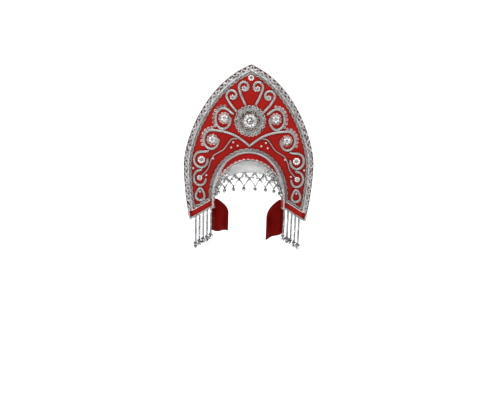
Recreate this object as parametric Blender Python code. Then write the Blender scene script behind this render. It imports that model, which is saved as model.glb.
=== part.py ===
"""A kokoshnik: a pointed crest board in red satin on a headband, with silver braids, scrolls of cord,
a beaded forehead net, bead strands under its two lobes and a satin ribbon behind each.

Metres, +Z up, the wearer faces -Y. The origin is the crown of the wearer's head, under the headband.
Places on the board are s across it, t up it from the lobes' tips and d in front of its middle plane.
"""

import math

import bmesh
import bpy
from mathutils import Vector

# Crest board
CREST_WIDTH = 0.277
CREST_HEIGHT = 0.330
CREST_THICKNESS = 0.004
CREST_BEND_RADIUS = 0.60
CREST_LEAN = math.radians(10)
TIP_RADIUS = 0.008  # of the rounded point
LOBE_STEP = 0.031  # how far the lobe's inner corner is above its outer tip
LOBE_SIDE = ((0.895, 0.0), (0.945, 0.07), (1.0, 0.24), (1.0, 0.36))  # shares of the half width and height
SHOULDER = ((1.0, 0.36), (1.0, 0.50), (0.71, 0.86))  # then the rounded point

# Opening for the head
ARCH_WIDTH = 0.148
ARCH_RISE = 0.092
ARCH_SPRING = 0.054  # height of the arch's springing over the lobes' tips

# Headband
BAND_WIDTH = 0.030
BAND_BEHIND = 0.006  # how much of the width lies behind the board's middle plane
BAND_THICKNESS = 0.0024
BAND_TOP_SLOPE = math.radians(24)
BAND_SIDE_SLOPE = math.radians(3)
BAND_FOLDS = 3
BAND_FOLD_HEIGHT = 0.0012

# Braids and cords on the board
EDGE_BRAID_WIDTH = 0.0088
EDGE_BRAID_THICKNESS = 0.0018
RIM_CORD_WIDTH = 0.0016
RIM_CORD_HEIGHT = 0.0016
GIMP_WIDTH = 0.0056
GIMP_HEIGHT = 0.0016
GIMP_CORNER = 0.011  # how far from a lobe's corner the gimp starts to round it
ARCH_BRAID_WIDTH = 0.0046
ARCH_BRAID_HEIGHT = 0.0018
HEM_SATIN = 0.0145  # bare satin between the gimp and a lobe's lower edge
LOBE_EDGING_WIDTH = 0.0030
LOBE_EDGING_THICKNESS = 0.0012
BAND_EDGING_WIDTH = 0.0034
BAND_EDGING_HEIGHT = 0.0010
SCROLL_WIDTH = 0.0050
SCROLL_HEIGHT = 0.0026
VINE_WIDTH = 0.0026
VINE_HEIGHT = 0.0016
SEWN_GAP = 0.0003  # left between two pieces that are sewn together

# Stones
MEDALLION_RADIUS = 0.0330
MEDALLION_HEIGHT = 0.0030
ROSETTE_HEIGHT = 0.0034
STONE_RADIUS = 0.0046
STONE_HEIGHT = 0.0036

# Forehead net
NET_BEADS = 10
NET_THICKNESS = 0.0016
NET_STRAND = 0.0020
NET_KNOT_DROP = 0.70  # places of the knots and of the finer netting's lower edge, from 0 at the band
NET_FINE_DROP = 0.50
NET_FINE_ROWS = 3
NET_HALF_WIDTH = 0.0690  # half the width between the hem's two ends
NET_END_FORWARD = 0.0290  # how far the hem's ends are in front of the arch's springing
NET_END_UP = 0.0150
NET_FRONT_FORWARD = 0.0610  # the same two for the hem's middle
NET_FRONT_UP = 0.0415
NET_BEAD_RADIUS = 0.0036
HEAD_HALF_WIDTH = 0.080  # the net lies on a head of this form
HEAD_HALF_LENGTH = 0.098
HEAD_RISE = 0.0886
HEAD_SET_BACK = 0.030

# Bead strands and ribbons
STRANDS = 5
STRAND_LENGTH = 0.0660
STRAND_RADIUS = 0.0014
STRAND_BEAD_RADIUS = 0.0037
STRAND_FIRST = 0.24  # places of the outermost and innermost strands, as shares of the lobe's lower edge
STRAND_LAST = 0.90
RIBBON_WIDTH = 0.038
RIBBON_OUTWARD = 0.006  # how far a ribbon's outer edge is past the opening's side
RIBBON_GATHER = 0.34  # a ribbon's width at its seam, as a share of its whole width
RIBBON_THICKNESS = 0.0012
RIBBON_FOLD = 0.0040
RIBBON_SEAM = 0.045  # height of a ribbon's seam over the lobes' tips
LEFT_RIBBON_LENGTH = 0.076
RIGHT_RIBBON_LENGTH = 0.096
RIGHT_RIBBON_SLANT = 0.018  # how much shorter its outer edge is cut

SATIN_RED = (0.52, 0.012, 0.016)
RIBBON_RED = (0.30, 0.006, 0.010)
SILVER = (0.62, 0.63, 0.64)
PEARL = (0.78, 0.76, 0.72)

# The embroidery is charted on squared paper laid over the field inside the gimp, counted from the middle
# and from the lobes' tips. The squares stretch with the field and the opening, so the chart keeps to both.
CHART_HALF_WIDTH = 56.43
CHART_HEIGHT = 145.53
CHART_ARCH_HALF_WIDTH = 34.6
CHART_ARCH_TOP = 68.2

# Each scroll leaves its start at a heading, runs into its curl at the entry angle and turns by the
# sweep, shrinking to the end share: (start, heading, curl centre, curl radii, entry, sweep, end share)
SCROLLS = {
    "top_scroll": ((4.9, 115.6), 62, (6.6, 133.0), (5.2, 5.8), -25, 285, 0.66),
    "side_scroll": ((13.0, 108.6), 48, (18.2, 124.6), (5.6, 5.6), -35, 295, 0.66),
    "upper_scroll": ((16.2, 106.4), 25, (26.3, 101.5), (7.8, 10.4), 95, -285, 0.92),
    "long_scroll": ((0.0, 75.3), 42, (37.4, 80.4), (7.8, 9.8), 95, -285, 0.86),
    "lower_scroll": ((41.4, 68.2), 0, (47.3, 60.4), (6.9, 7.9), 90, -280, 0.94),
    "tail_scroll": ((46.6, 49.9), 0, (47.9, 42.2), (6.2, 7.7), 85, -265, 0.94),
}
CURL_PULL = 0.4  # how far each scroll's headings carry, as a share of the way between its foot and curl
END_STONES = {"top_scroll": (6.6, 131.4), "side_scroll": (17.7, 122.7)}
DROP_LOOP = {"centre": (47.5, 25.7), "half_width": 3.7, "half_height": 6.0}
VINE_ROUTE = ((12.9, 80.4), (18.0, 79.2), (25.2, 71.4), (35.0, 65.2), (38.3, 58.6), (40.2, 51.4), (47.2, 43.4))
VINE_STONE = (48.4, 42.2)
TOP_STONE = (0.0, 142.0)
MEDALLION_CENTRE = (0.0, 100.0)
ROSETTES = {
    "upper_rosette": ((25.3, 102.2), 4.3),
    "middle_rosette": ((36.8, 80.8), 4.4),
    "lower_rosette": ((47.0, 60.4), 3.6),
}


def clear_scene():
    for item in list(bpy.data.objects):
        bpy.data.objects.remove(item)


def material(name, colour, roughness, metallic):
    made = bpy.data.materials.new(name)
    made.use_nodes = True
    shader = made.node_tree.nodes["Principled BSDF"]
    shader.inputs["Base Color"].default_value = (*colour, 1)
    shader.inputs["Roughness"].default_value = roughness
    shader.inputs["Metallic"].default_value = metallic
    made.diffuse_color = (*colour, 1)
    return made


def add_object(name, mesh_data, finish):
    """Makes an object of a bmesh, with its faces turned outwards."""
    bmesh.ops.recalc_face_normals(mesh_data, faces=mesh_data.faces)
    mesh = bpy.data.meshes.new(name)
    mesh_data.to_mesh(mesh)
    mesh_data.free()
    mesh.materials.append(finish)
    made = bpy.data.objects.new(name, mesh)
    bpy.context.scene.collection.objects.link(made)
    mesh.shade_smooth()
    mesh.set_sharp_from_angle(angle=math.radians(40))
    return made


def arch_top():
    return ARCH_SPRING + ARCH_RISE


def lean(forward, up):
    """World y and z of a point so far in front of the board's plane and above the arch's top."""
    y = -forward * math.cos(CREST_LEAN) + up * math.sin(CREST_LEAN)
    z = forward * math.sin(CREST_LEAN) + up * math.cos(CREST_LEAN)
    return y, z + BAND_THICKNESS + SEWN_GAP


def crest_point(s, t, d):
    """World place of a point s across the bent board, t up it and d in front of its middle plane."""
    turn = s / CREST_BEND_RADIUS
    forward = (CREST_BEND_RADIUS + d) * math.cos(turn) - CREST_BEND_RADIUS
    y, z = lean(forward, t - arch_top())
    return Vector(((CREST_BEND_RADIUS + d) * math.sin(turn), y, z))


def border_width():
    """From the board's edge to the gimp's inner edge."""
    return EDGE_BRAID_WIDTH + RIM_CORD_WIDTH + 2 * SEWN_GAP + GIMP_WIDTH


def field_top():
    """Height of the corner inside the gimp under the board's point."""
    return inset_outline(border_width())[-1].y


def chart(column, row):
    """Place on the board, s and t, of a place on the squared chart."""
    opening = ARCH_WIDTH / 2
    field = CREST_WIDTH / 2 - border_width()
    count = abs(column)
    if count <= CHART_ARCH_HALF_WIDTH:
        s = count * opening / CHART_ARCH_HALF_WIDTH
    else:
        share = (count - CHART_ARCH_HALF_WIDTH) / (CHART_HALF_WIDTH - CHART_ARCH_HALF_WIDTH)
        s = opening + share * (field - opening)
    if row <= CHART_ARCH_TOP:
        t = row * arch_top() / CHART_ARCH_TOP
    else:
        share = (row - CHART_ARCH_TOP) / (CHART_HEIGHT - CHART_ARCH_TOP)
        t = arch_top() + share * (field_top() - arch_top())
    return Vector((math.copysign(s, column), t))


def bezier(points, share):
    a, b, c, d = points
    rest = 1 - share
    return a * rest**3 + b * (3 * rest**2 * share) + c * (3 * rest * share**2) + d * share**3


def run_length(points):
    return sum((b - a).length for a, b in zip(points, points[1:]))


def evenly(points, count):
    """The same line, with count points the same distance apart."""
    step = run_length(points) / (count - 1)
    found, walked, aim = [points[0]], 0.0, step
    for a, b in zip(points, points[1:]):
        length = (b - a).length
        while walked + length >= aim - 1e-12 and len(found) < count - 1:
            found.append(a.lerp(b, (aim - walked) / length))
            aim += step
        walked += length
    return found + [points[-1]]


def mirrored(points):
    return [Vector((-p.x, p.y)) for p in points]


def outline_half():
    """The board's right edge from the lobe's tip up to the point, as two curves and a rounded point."""
    half, height = CREST_WIDTH / 2, CREST_HEIGHT
    side = [Vector((half * x, height * y)) for x, y in LOBE_SIDE]
    shoulder = [Vector((half * x, height * y)) for x, y in SHOULDER]
    shoulder.append(Vector((TIP_RADIUS, height - TIP_RADIUS * 0.45)))
    slope = (shoulder[3] - shoulder[2]).normalized()
    knee = shoulder[3] + slope * TIP_RADIUS * 0.6
    point = [shoulder[3], knee, Vector((TIP_RADIUS * 0.35, height)), Vector((0, height))]
    points = [bezier(side, i / 14) for i in range(14)]
    points += [bezier(shoulder, i / 40) for i in range(40)]
    return points + [bezier(point, i / 8) for i in range(9)]


def arch_half(inset=0.0):
    """The opening's right edge from the lobe's inner corner up to the arch's top, moved out by inset."""
    width, rise = ARCH_WIDTH / 2 + inset, ARCH_RISE + inset
    points = [Vector((width, LOBE_STEP)), Vector((width, ARCH_SPRING))]
    for i in range(1, 37):
        turn = math.radians(90) * i / 36
        points.append(Vector((width * math.cos(turn), ARCH_SPRING + rise * math.sin(turn))))
    return points


def whole(half):
    """A line from the left lobe over the middle to the right lobe, made of its right half."""
    return mirrored(half) + half[::-1][1:]


def moved(points, distance):
    """The line moved to its left side by a distance, without its ends' directions changing."""
    found = []
    for i, point in enumerate(points):
        along = points[min(i + 1, len(points) - 1)] - points[max(i - 1, 0)]
        found.append(point + Vector((-along.y, along.x)).normalized() * distance)
    return found


def inset_outline(distance):
    """The board's right edge moved in by a distance, stopped where it meets the middle."""
    shifted = moved(outline_half(), distance)
    kept = []
    for point in shifted:
        if kept and point.x <= 0:
            before = kept[-1]
            kept.append(before.lerp(point, before.x / (before.x - point.x)))
            return kept
        if point.x > 0:
            kept.append(point)
    return kept + [Vector((0, kept[-1].y))]


def lobe_line(offset):
    """Two points on a line above the right lobe's lower edge: at its outer tip and its inner corner."""
    outer = outline_half()[0]
    inner = Vector((ARCH_WIDTH / 2, LOBE_STEP))
    side = Vector((outer.y - inner.y, inner.x - outer.x)).normalized()
    if side.y < 0:
        side = -side
    return outer + side * offset, inner + side * offset


def cut_at_line(points, line):
    """The stretch of a rising line above another line, starting where they cross."""
    a, b = line
    across = Vector((b.y - a.y, a.x - b.x))
    if across.y < 0:
        across = -across
    heights = [(p - a).dot(across) for p in points]
    for i in range(1, len(points)):
        if heights[i - 1] < 0 <= heights[i]:
            share = heights[i - 1] / (heights[i - 1] - heights[i])
            return [points[i - 1].lerp(points[i], share)] + points[i:]
    return points


def grid_solid(front, back):
    """A closed wall between two grids of places with the same rows and columns."""
    mesh = bmesh.new()
    top, under = [[[mesh.verts.new(p) for p in row] for row in grid] for grid in (front, back)]
    columns = range(len(front[0]) - 1)
    for i in range(len(front) - 1):
        for k in columns:
            mesh.faces.new((top[i][k], top[i + 1][k], top[i + 1][k + 1], top[i][k + 1]))
            mesh.faces.new((under[i][k + 1], under[i + 1][k + 1], under[i + 1][k], under[i][k]))
        mesh.faces.new((top[i][0], under[i][0], under[i + 1][0], top[i + 1][0]))
        mesh.faces.new((top[i + 1][-1], under[i + 1][-1], under[i][-1], top[i][-1]))
    for k in columns:
        mesh.faces.new((top[0][k], top[0][k + 1], under[0][k + 1], under[0][k]))
        mesh.faces.new((top[-1][k + 1], top[-1][k], under[-1][k], under[-1][k + 1]))
    return mesh


def rings_solid(rings, closed=False):
    """A tube through rings of places, with flat ends unless it is closed on itself."""
    mesh = bmesh.new()
    loops = [[mesh.verts.new(p) for p in ring] for ring in rings]
    sides = len(loops[0])
    last = len(loops) if closed else len(loops) - 1
    for i in range(last):
        one, two = loops[i], loops[(i + 1) % len(loops)]
        for k in range(sides):
            mesh.faces.new((one[k], one[(k + 1) % sides], two[(k + 1) % sides], two[k]))
    if not closed:
        mesh.faces.new(loops[0][::-1])
        mesh.faces.new(loops[-1])
    return mesh


def sweep(path, profile, closed=False):
    """A strip on the board along a path, with a profile of (offset to the left, depth) corners."""
    rings = []
    count = len(path)
    for i, point in enumerate(path):
        before = path[i - 1] if closed or i else point
        after = path[(i + 1) % count] if closed or i < count - 1 else point
        along_in = (point - before).normalized() if point != before else (after - point).normalized()
        along_out = (after - point).normalized() if point != after else along_in
        along = (along_in + along_out).normalized()
        stretch = 1 / max(along.dot(along_out), 0.6)
        side = Vector((-along.y, along.x)) * stretch
        rings.append([crest_point(point.x + side.x * a, point.y + side.y * a, d) for a, d in profile])
    return rings_solid(rings, closed)


def strip(outer, inner, profile, width):
    """A strip between two lines; profile has (distance from the outer line, depth) corners."""
    rings = []
    for edge, inside in zip(outer, inner):
        away = (inside - edge).normalized()
        ring = []
        for reach, depth in profile:
            spot = edge + ((inside - edge) * (reach / width) if reach > 0 else away * reach)
            ring.append(crest_point(spot.x, spot.y, depth))
        rings.append(ring)
    return rings_solid(rings)


def flat_profile(width, height, bevel=0.3):
    """A low strip's profile: flat under, with two bevelled upper corners."""
    floor = CREST_THICKNESS / 2 + SEWN_GAP
    cut = width / 2 * bevel
    return [
        (width / 2, floor),
        (width / 2 - cut, floor + height),
        (-width / 2 + cut, floor + height),
        (-width / 2, floor),
    ]


def wrap_profile(width, thickness):
    """A braid folded over the board's edge; distances run inwards from the edge."""
    inner = CREST_THICKNESS / 2 + SEWN_GAP
    outer = inner + thickness
    return [
        (width, inner),
        (width, outer),
        (-SEWN_GAP, outer),
        (-SEWN_GAP - thickness, inner * 0.6),
        (-SEWN_GAP - thickness, -inner * 0.6),
        (-SEWN_GAP, -outer),
        (width, -outer),
        (width, -inner),
        (-SEWN_GAP, -inner),
        (-SEWN_GAP, inner),
    ]


def build_crest(finish):
    outer = evenly(whole(outline_half()), 49)
    inner = evenly(whole(arch_half()), 49)
    shares = (0.0, 0.25, 0.5, 0.75, 1.0)
    rows = [[a.lerp(b, share) for share in shares] for a, b in zip(inner, outer)]
    front = [[crest_point(p.x, p.y, CREST_THICKNESS / 2) for p in row] for row in rows]
    back = [[crest_point(p.x, p.y, -CREST_THICKNESS / 2) for p in row] for row in rows]
    add_object("crest", grid_solid(front, back), finish)


def band_slope(turn):
    return BAND_SIDE_SLOPE + (BAND_TOP_SLOPE - BAND_SIDE_SLOPE) * max(0.0, math.sin(turn))


def band_point(place, out, turn, forward, rise):
    """World place on the band: forward from the board's middle plane, rise outwards from its face."""
    slope = band_slope(turn)
    inward = SEWN_GAP + max(0.0, forward) * math.tan(slope) - rise
    spot = place - out * inward
    return crest_point(spot.x, spot.y, forward)


def band_stations(count=39):
    """(place on the arch, outward direction, turn) along the headband from the left to the right."""
    line = evenly(whole(arch_half()), count)
    found = []
    for i, place in enumerate(line):
        along = line[min(i + 1, count - 1)] - line[max(i - 1, 0)]
        out = Vector((-along.y, along.x)).normalized()
        over = place.y - ARCH_SPRING
        turn = math.atan2(over / ARCH_RISE, place.x / (ARCH_WIDTH / 2)) if over > 0 else 0.0
        found.append((place, out, turn))
    return found


def band_front():
    return BAND_WIDTH - BAND_BEHIND


def fold_rise(share):
    """Height of the satin's soft folds, which run along the band in front of the board."""
    return -BAND_FOLD_HEIGHT * (1 - abs(math.cos(math.pi * BAND_FOLDS * share)))


def build_headband(finish):
    """The folds lie in front of the board; the part that passes through the opening is plain."""
    clear = CREST_THICKNESS / 2 + SEWN_GAP + ARCH_BRAID_HEIGHT
    steps = BAND_FOLDS * 2
    shape = [(-BAND_BEHIND, -BAND_THICKNESS), (-BAND_BEHIND, 0.0), (clear, 0.0)]
    for i in range(1, steps + 1):
        shape.append((clear + (band_front() - clear) * i / steps, fold_rise(i / steps)))
    shape.append((band_front(), -BAND_THICKNESS))
    rings = [[band_point(*station, f, r) for f, r in shape] for station in band_stations()]
    add_object("headband", rings_solid(rings), finish)


def build_band_edging(finish):
    """A narrow scalloped braid on the band's front edge."""
    start = band_front() - BAND_EDGING_WIDTH
    low, high = SEWN_GAP, SEWN_GAP + BAND_EDGING_HEIGHT
    shape = [(start, low), (start, high), (band_front(), high), (band_front(), low)]
    rings = [[band_point(*station, f, r) for f, r in shape] for station in band_stations()]
    add_object("band_edging", rings_solid(rings), finish)


def rounded_corner(before, corner, after, radius, steps=4):
    """Points round a corner between two neighbouring points, starting and ending a radius away."""
    start = corner + (before - corner).normalized() * radius
    end = corner + (after - corner).normalized() * radius
    return [bezier((start, corner, corner, end), i / steps) for i in range(steps + 1)]


def gimp_loop():
    """Middle line of the gimp: up inside the outer braids, over, down, and round the opening."""
    border = border_width() - GIMP_WIDTH / 2
    opening = ARCH_BRAID_WIDTH + SEWN_GAP + GIMP_WIDTH / 2
    low = lobe_line(HEM_SATIN + GIMP_WIDTH / 2)
    outer = cut_at_line(inset_outline(border), low)
    inner = cut_at_line(arch_half(opening), low)
    corner = rounded_corner(inner[0], outer[0], outer[3], GIMP_CORNER)
    side = [p for p in outer if (p - outer[0]).length > GIMP_CORNER]
    half = evenly(inner, 18)[::-1] + [inner[0].lerp(corner[0], 0.5)] + corner + evenly(side, 22)[1:]
    return half[:-1] + mirrored(half)[::-1][:-1]


def build_gimp(finish):
    add_object("border_gimp", sweep(gimp_loop(), flat_profile(GIMP_WIDTH, GIMP_HEIGHT), True), finish)


def rim_line():
    """Middle line of the bright cord: under the left lobe's gimp, up, over and under the right one."""
    border = EDGE_BRAID_WIDTH + SEWN_GAP + RIM_CORD_WIDTH / 2
    low = lobe_line(HEM_SATIN - SEWN_GAP - RIM_CORD_WIDTH / 2)
    outer = evenly(cut_at_line(inset_outline(border), low), 25)
    inner = arch_half(ARCH_BRAID_WIDTH + RIM_CORD_WIDTH)
    corner = cut_at_line(inner, low)[0]
    return whole([corner, corner.lerp(outer[0], 0.5)] + outer)


def build_rim_cord(finish):
    profile = flat_profile(RIM_CORD_WIDTH, RIM_CORD_HEIGHT, bevel=0.5)
    add_object("rim_cord", sweep(rim_line(), profile), finish)


def build_edge_braid(finish):
    """It wraps the outer edge and ends level with the gimp, where a lobe's bare satin begins."""
    start = lobe_line(HEM_SATIN)
    lines = [cut_at_line(outline_half(), start), cut_at_line(inset_outline(EDGE_BRAID_WIDTH), start)]
    outer, inner = [whole(evenly(line, 24)) for line in lines]
    profile = wrap_profile(EDGE_BRAID_WIDTH, EDGE_BRAID_THICKNESS)
    add_object("edge_braid", strip(outer, inner, profile, EDGE_BRAID_WIDTH), finish)


def build_arch_braid(finish):
    path = evenly(whole(cut_at_line(arch_half(ARCH_BRAID_WIDTH / 2), lobe_line(HEM_SATIN))), 39)
    add_object("arch_braid", sweep(path, flat_profile(ARCH_BRAID_WIDTH, ARCH_BRAID_HEIGHT)), finish)


def lobe_edge(inset):
    """A line from the right lobe's inner corner to its tip and up its side to the edge braid."""
    foot, corner = lobe_line(inset)
    clear = SEWN_GAP + LOBE_EDGING_THICKNESS
    start = corner + (foot - corner).normalized() * clear
    side = inset_outline(inset) if inset else outline_half()
    upper = cut_at_line(side, lobe_line(HEM_SATIN - SEWN_GAP))[0]
    lower = cut_at_line(side, (foot, corner))[0] if inset else foot
    between = [p for p in side if lower.y < p.y < upper.y]
    return evenly([start, lower], 6)[:-1] + evenly([lower] + between + [upper], 3)


def build_lobe_edging(name, side, finish):
    """It wraps a lobe's lower edge and goes on round its tip."""
    outer, inner = lobe_edge(0.0), lobe_edge(LOBE_EDGING_WIDTH)
    if side < 0:
        outer, inner = mirrored(outer), mirrored(inner)
    profile = wrap_profile(LOBE_EDGING_WIDTH, LOBE_EDGING_THICKNESS)
    add_object(name, strip(outer, inner, profile, LOBE_EDGING_WIDTH), finish)


def scroll_line(name, side):
    """Middle line of a scroll in places on the board, from its foot to the end of its curl."""
    start, heading, centre, radii, entry, sweep_angle, end_share = SCROLLS[name]
    steps = max(8, round(abs(sweep_angle) / 24))

    def curl(share):
        turn = math.radians(entry + sweep_angle * share)
        size = 1 + (end_share - 1) * share
        return Vector((centre[0] + radii[0] * size * math.cos(turn), centre[1] + radii[1] * size * math.sin(turn)))

    foot, entry_point = Vector(start), curl(0)
    pull = (entry_point - foot).length * CURL_PULL
    toward = Vector((math.cos(math.radians(heading)), math.sin(math.radians(heading))))
    arriving = (curl(0.01) - entry_point).normalized()
    tail = [foot, foot + toward * pull, entry_point - arriving * pull, entry_point]
    tail_steps = max(3, round((entry_point - foot).length / 4.5))
    charted = [bezier(tail, i / tail_steps) for i in range(tail_steps)]
    charted += [curl(i / steps) for i in range(steps + 1)]
    return [chart(side * p.x, p.y) for p in charted]


def cut_stone(name, centre, radius, height, finish, sides=10):
    """A faceted stone in a low round cup, seated on the board."""
    floor = CREST_THICKNESS / 2 + SEWN_GAP
    levels = ((1.0, 0.0), (1.0, 0.35), (0.86, 0.45), (0.5, 1.0))
    rings = []
    for share, rise in levels:
        ring = []
        for k in range(sides):
            turn = math.tau * k / sides
            s = centre.x + radius * share * math.cos(turn)
            t = centre.y + radius * share * math.sin(turn)
            ring.append(crest_point(s, t, floor + height * rise))
        rings.append(ring)
    return add_object(name, rings_solid(rings), finish)


def join(target, others):
    """Joins solids that overlap into one, leaving no helper behind."""
    for other in others:
        union = target.modifiers.new("union", "BOOLEAN")
        union.operation = "UNION"
        union.object = other
        graph = bpy.context.evaluated_depsgraph_get()
        fused = bpy.data.meshes.new_from_object(target.evaluated_get(graph))
        target.modifiers.clear()
        old = target.data
        target.data = fused
        bpy.data.meshes.remove(old)
        bpy.data.objects.remove(other)
    return target


def build_scrolls(silver, crystal):
    profile = flat_profile(SCROLL_WIDTH, SCROLL_HEIGHT, bevel=0.45)
    for label, side in (("left", -1), ("right", 1)):
        for name in SCROLLS:
            if name == "long_scroll":
                continue
            cord = add_object(f"{name}_{label}", sweep(scroll_line(name, side), profile), silver)
            if name in END_STONES:
                column, row = END_STONES[name]
                spot = chart(side * column, row)
                join(cord, [cut_stone("stone", spot, STONE_RADIUS, STONE_HEIGHT, crystal)])
    half = scroll_line("long_scroll", 1)
    add_object("long_scroll", sweep(whole(half[::-1]), profile), silver)


def build_drop_loops(finish):
    """A teardrop of cord near the foot of each lobe."""
    profile = flat_profile(SCROLL_WIDTH, SCROLL_HEIGHT, bevel=0.45)
    column, row = DROP_LOOP["centre"]
    for label, side in (("left", -1), ("right", 1)):
        path = []
        for i in range(18):
            turn = math.tau * (i + 0.5) / 18
            across = DROP_LOOP["half_width"] * math.sin(turn) * (1 - 0.35 * math.cos(turn))
            path.append(chart(side * (column + across), row + DROP_LOOP["half_height"] * math.cos(turn)))
        add_object(f"drop_loop_{label}", sweep(path, profile, True), finish)


def smooth_route(points, per_span):
    """A smooth line through chosen points."""
    padded = [points[0] * 2 - points[1]] + points + [points[-1] * 2 - points[-2]]
    found = []
    for a, b, c, d in zip(padded, padded[1:], padded[2:], padded[3:]):
        for i in range(per_span):
            x = i / per_span
            found.append(
                (b * 2 + (c - a) * x + (a * 2 - b * 5 + c * 4 - d) * x**2 + (b * 3 - a - c * 3 + d) * x**3) / 2
            )
    return found + [points[-1]]


def build_vines(silver, crystal):
    profile = flat_profile(VINE_WIDTH, VINE_HEIGHT, bevel=0.4)
    for label, side in (("left", -1), ("right", 1)):
        route = [chart(side * column, row) for column, row in VINE_ROUTE]
        vine = add_object(f"vine_{label}", sweep(smooth_route(route, 2), profile), silver)
        stone = cut_stone("stone", chart(side * VINE_STONE[0], VINE_STONE[1]), STONE_RADIUS, STONE_HEIGHT, crystal)
        join(vine, [stone])


def petal_solid(centre, radius, height, petals, depth, levels):
    """A round ornament with a scalloped edge; levels are (share of the radius, share of the height)."""
    floor = CREST_THICKNESS / 2 + SEWN_GAP
    rings = []
    corners = petals * 2
    for share, rise in levels:
        ring = []
        for k in range(corners):
            turn = math.tau * k / corners
            reach = radius * share * (1 - depth * share * (k % 2))
            spot = (centre.x + reach * math.cos(turn), centre.y + reach * math.sin(turn))
            ring.append(crest_point(*spot, floor + height * rise))
        rings.append(ring)
    return rings_solid(rings)


def build_medallion(finish):
    """Two scalloped rings of gimp, a sunk ring and a raised flower with a cut stone."""
    under = ((0.2, 0.0), (0.6, 0.0), (1.0, 0.0))
    over = ((1.0, 0.5), (0.72, 0.6), (0.60, 0.3), (0.46, 0.3), (0.36, 0.9), (0.17, 1.0))
    levels = under + over
    centre = chart(*MEDALLION_CENTRE)
    add_object("medallion", petal_solid(centre, MEDALLION_RADIUS, MEDALLION_HEIGHT, 12, 0.06, levels), finish)


def build_rosettes(finish):
    levels = ((1.0, 0.0), (1.0, 0.5), (0.5, 0.7), (0.25, 1.0))
    square = (CREST_WIDTH / 2 - border_width()) / CHART_HALF_WIDTH
    for name, (place, squares) in ROSETTES.items():
        for label, side in (("left", -1), ("right", 1)):
            centre = chart(side * place[0], place[1])
            mesh = petal_solid(centre, squares * square, ROSETTE_HEIGHT, 6, 0.22, levels)
            add_object(f"{name}_{label}", mesh, finish)
    cut_stone("top_stone", chart(*TOP_STONE), STONE_RADIUS * 1.15, STONE_HEIGHT, finish, sides=12)


def springing():
    """World place of the middle of the opening at the arch's springing."""
    return crest_point(0, ARCH_SPRING, 0)


def hem_point(turn):
    """A place on the net's hem; turn runs from 0 at the right end to pi at the left."""
    reach = math.sin(turn)
    forward = NET_END_FORWARD + (NET_FRONT_FORWARD - NET_END_FORWARD) * reach
    up = NET_END_UP + (NET_FRONT_UP - NET_END_UP) * reach
    return springing() + Vector((NET_HALF_WIDTH * math.cos(turn), -forward, up))


def band_edge_point(turn):
    """A place just in front of the band's front edge, where the net is sewn on."""
    low = math.radians(14)
    angle = low + (math.pi - 2 * low) * turn / math.pi
    half_width, rise = ARCH_WIDTH / 2, ARCH_RISE
    place = Vector((half_width * math.cos(angle), ARCH_SPRING + rise * math.sin(angle)))
    out = Vector((math.cos(angle) / half_width, math.sin(angle) / rise)).normalized()
    middle = -BAND_THICKNESS / 2
    return band_point(place, out, angle, band_front() + SEWN_GAP + NET_THICKNESS * 0.4, middle)


def head_radius(place):
    """How far out a place is, as a share of the head's form."""
    centre = springing() + Vector((0, HEAD_SET_BACK, 0))
    away = place - centre
    return math.sqrt(
        (away.x / HEAD_HALF_WIDTH) ** 2 + (away.y / HEAD_HALF_LENGTH) ** 2 + (away.z / HEAD_RISE) ** 2
    )


def net_point(turn, drop):
    """A place on the net, drop 0 at the band and 1 at the hem, rounded as the head is."""
    top, hem = band_edge_point(turn), hem_point(turn)
    straight = top.lerp(hem, drop)
    centre = springing() + Vector((0, HEAD_SET_BACK, 0))
    wanted = head_radius(top) * (1 - drop) + head_radius(hem) * drop
    return centre + (straight - centre) * (wanted / head_radius(straight))


def net_turn(index):
    """Turn of a bead, or with a half index of the knot between two beads."""
    share = min(max((index + 0.25) / (NET_BEADS - 0.5), 0.0), 1.0)
    return math.pi * (1 - share)


def net_row(mesh, drop, first, step):
    """Corners of the net at one drop, from one bead's index to the same place at the other end."""
    count = round((NET_BEADS - 1 - 2 * first) / step) + 1
    return [mesh.verts.new(net_point(net_turn(first + step * i), drop)) for i in range(count)]


def diamonds(mesh, low, middle, high):
    """Diamonds between three rows; rows that start outside the middle one lose their end corners."""
    if len(low) > len(middle):
        low, high = low[1:-1], high[1:-1]
    return [mesh.faces.new((low[k], middle[k + 1], high[k], middle[k])) for k in range(len(low))]


def fine_netting(mesh):
    """The finer net's rows from its lower edge up to the band, and its cells."""
    rows, cells = [], []
    for row in range(NET_FINE_ROWS + 1):
        drop = NET_FINE_DROP * (1 - row / NET_FINE_ROWS)
        rows.append(net_row(mesh, drop, -0.5 + 0.25 * (row % 2), 0.5))
    for k in range(len(rows[1])):
        cells.append(mesh.faces.new((rows[0][k], rows[0][k + 1], rows[1][k])))
    for low, middle, high in zip(rows, rows[1:], rows[2:]):
        cells += diamonds(mesh, low, middle, high)
    for low, middle, high in zip(rows[::2], rows[1::2], rows[2::2]):
        mesh.faces.new((low[0], middle[0], high[0]))
        mesh.faces.new((high[-1], middle[-1], low[-1]))
    under, edge = rows[-2:]
    skip = 1 if len(under) > len(edge) else 0
    for k in range(len(edge) - 1):
        cells.append(mesh.faces.new((under[k + skip], edge[k + 1], edge[k])))
    return rows, cells


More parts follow.
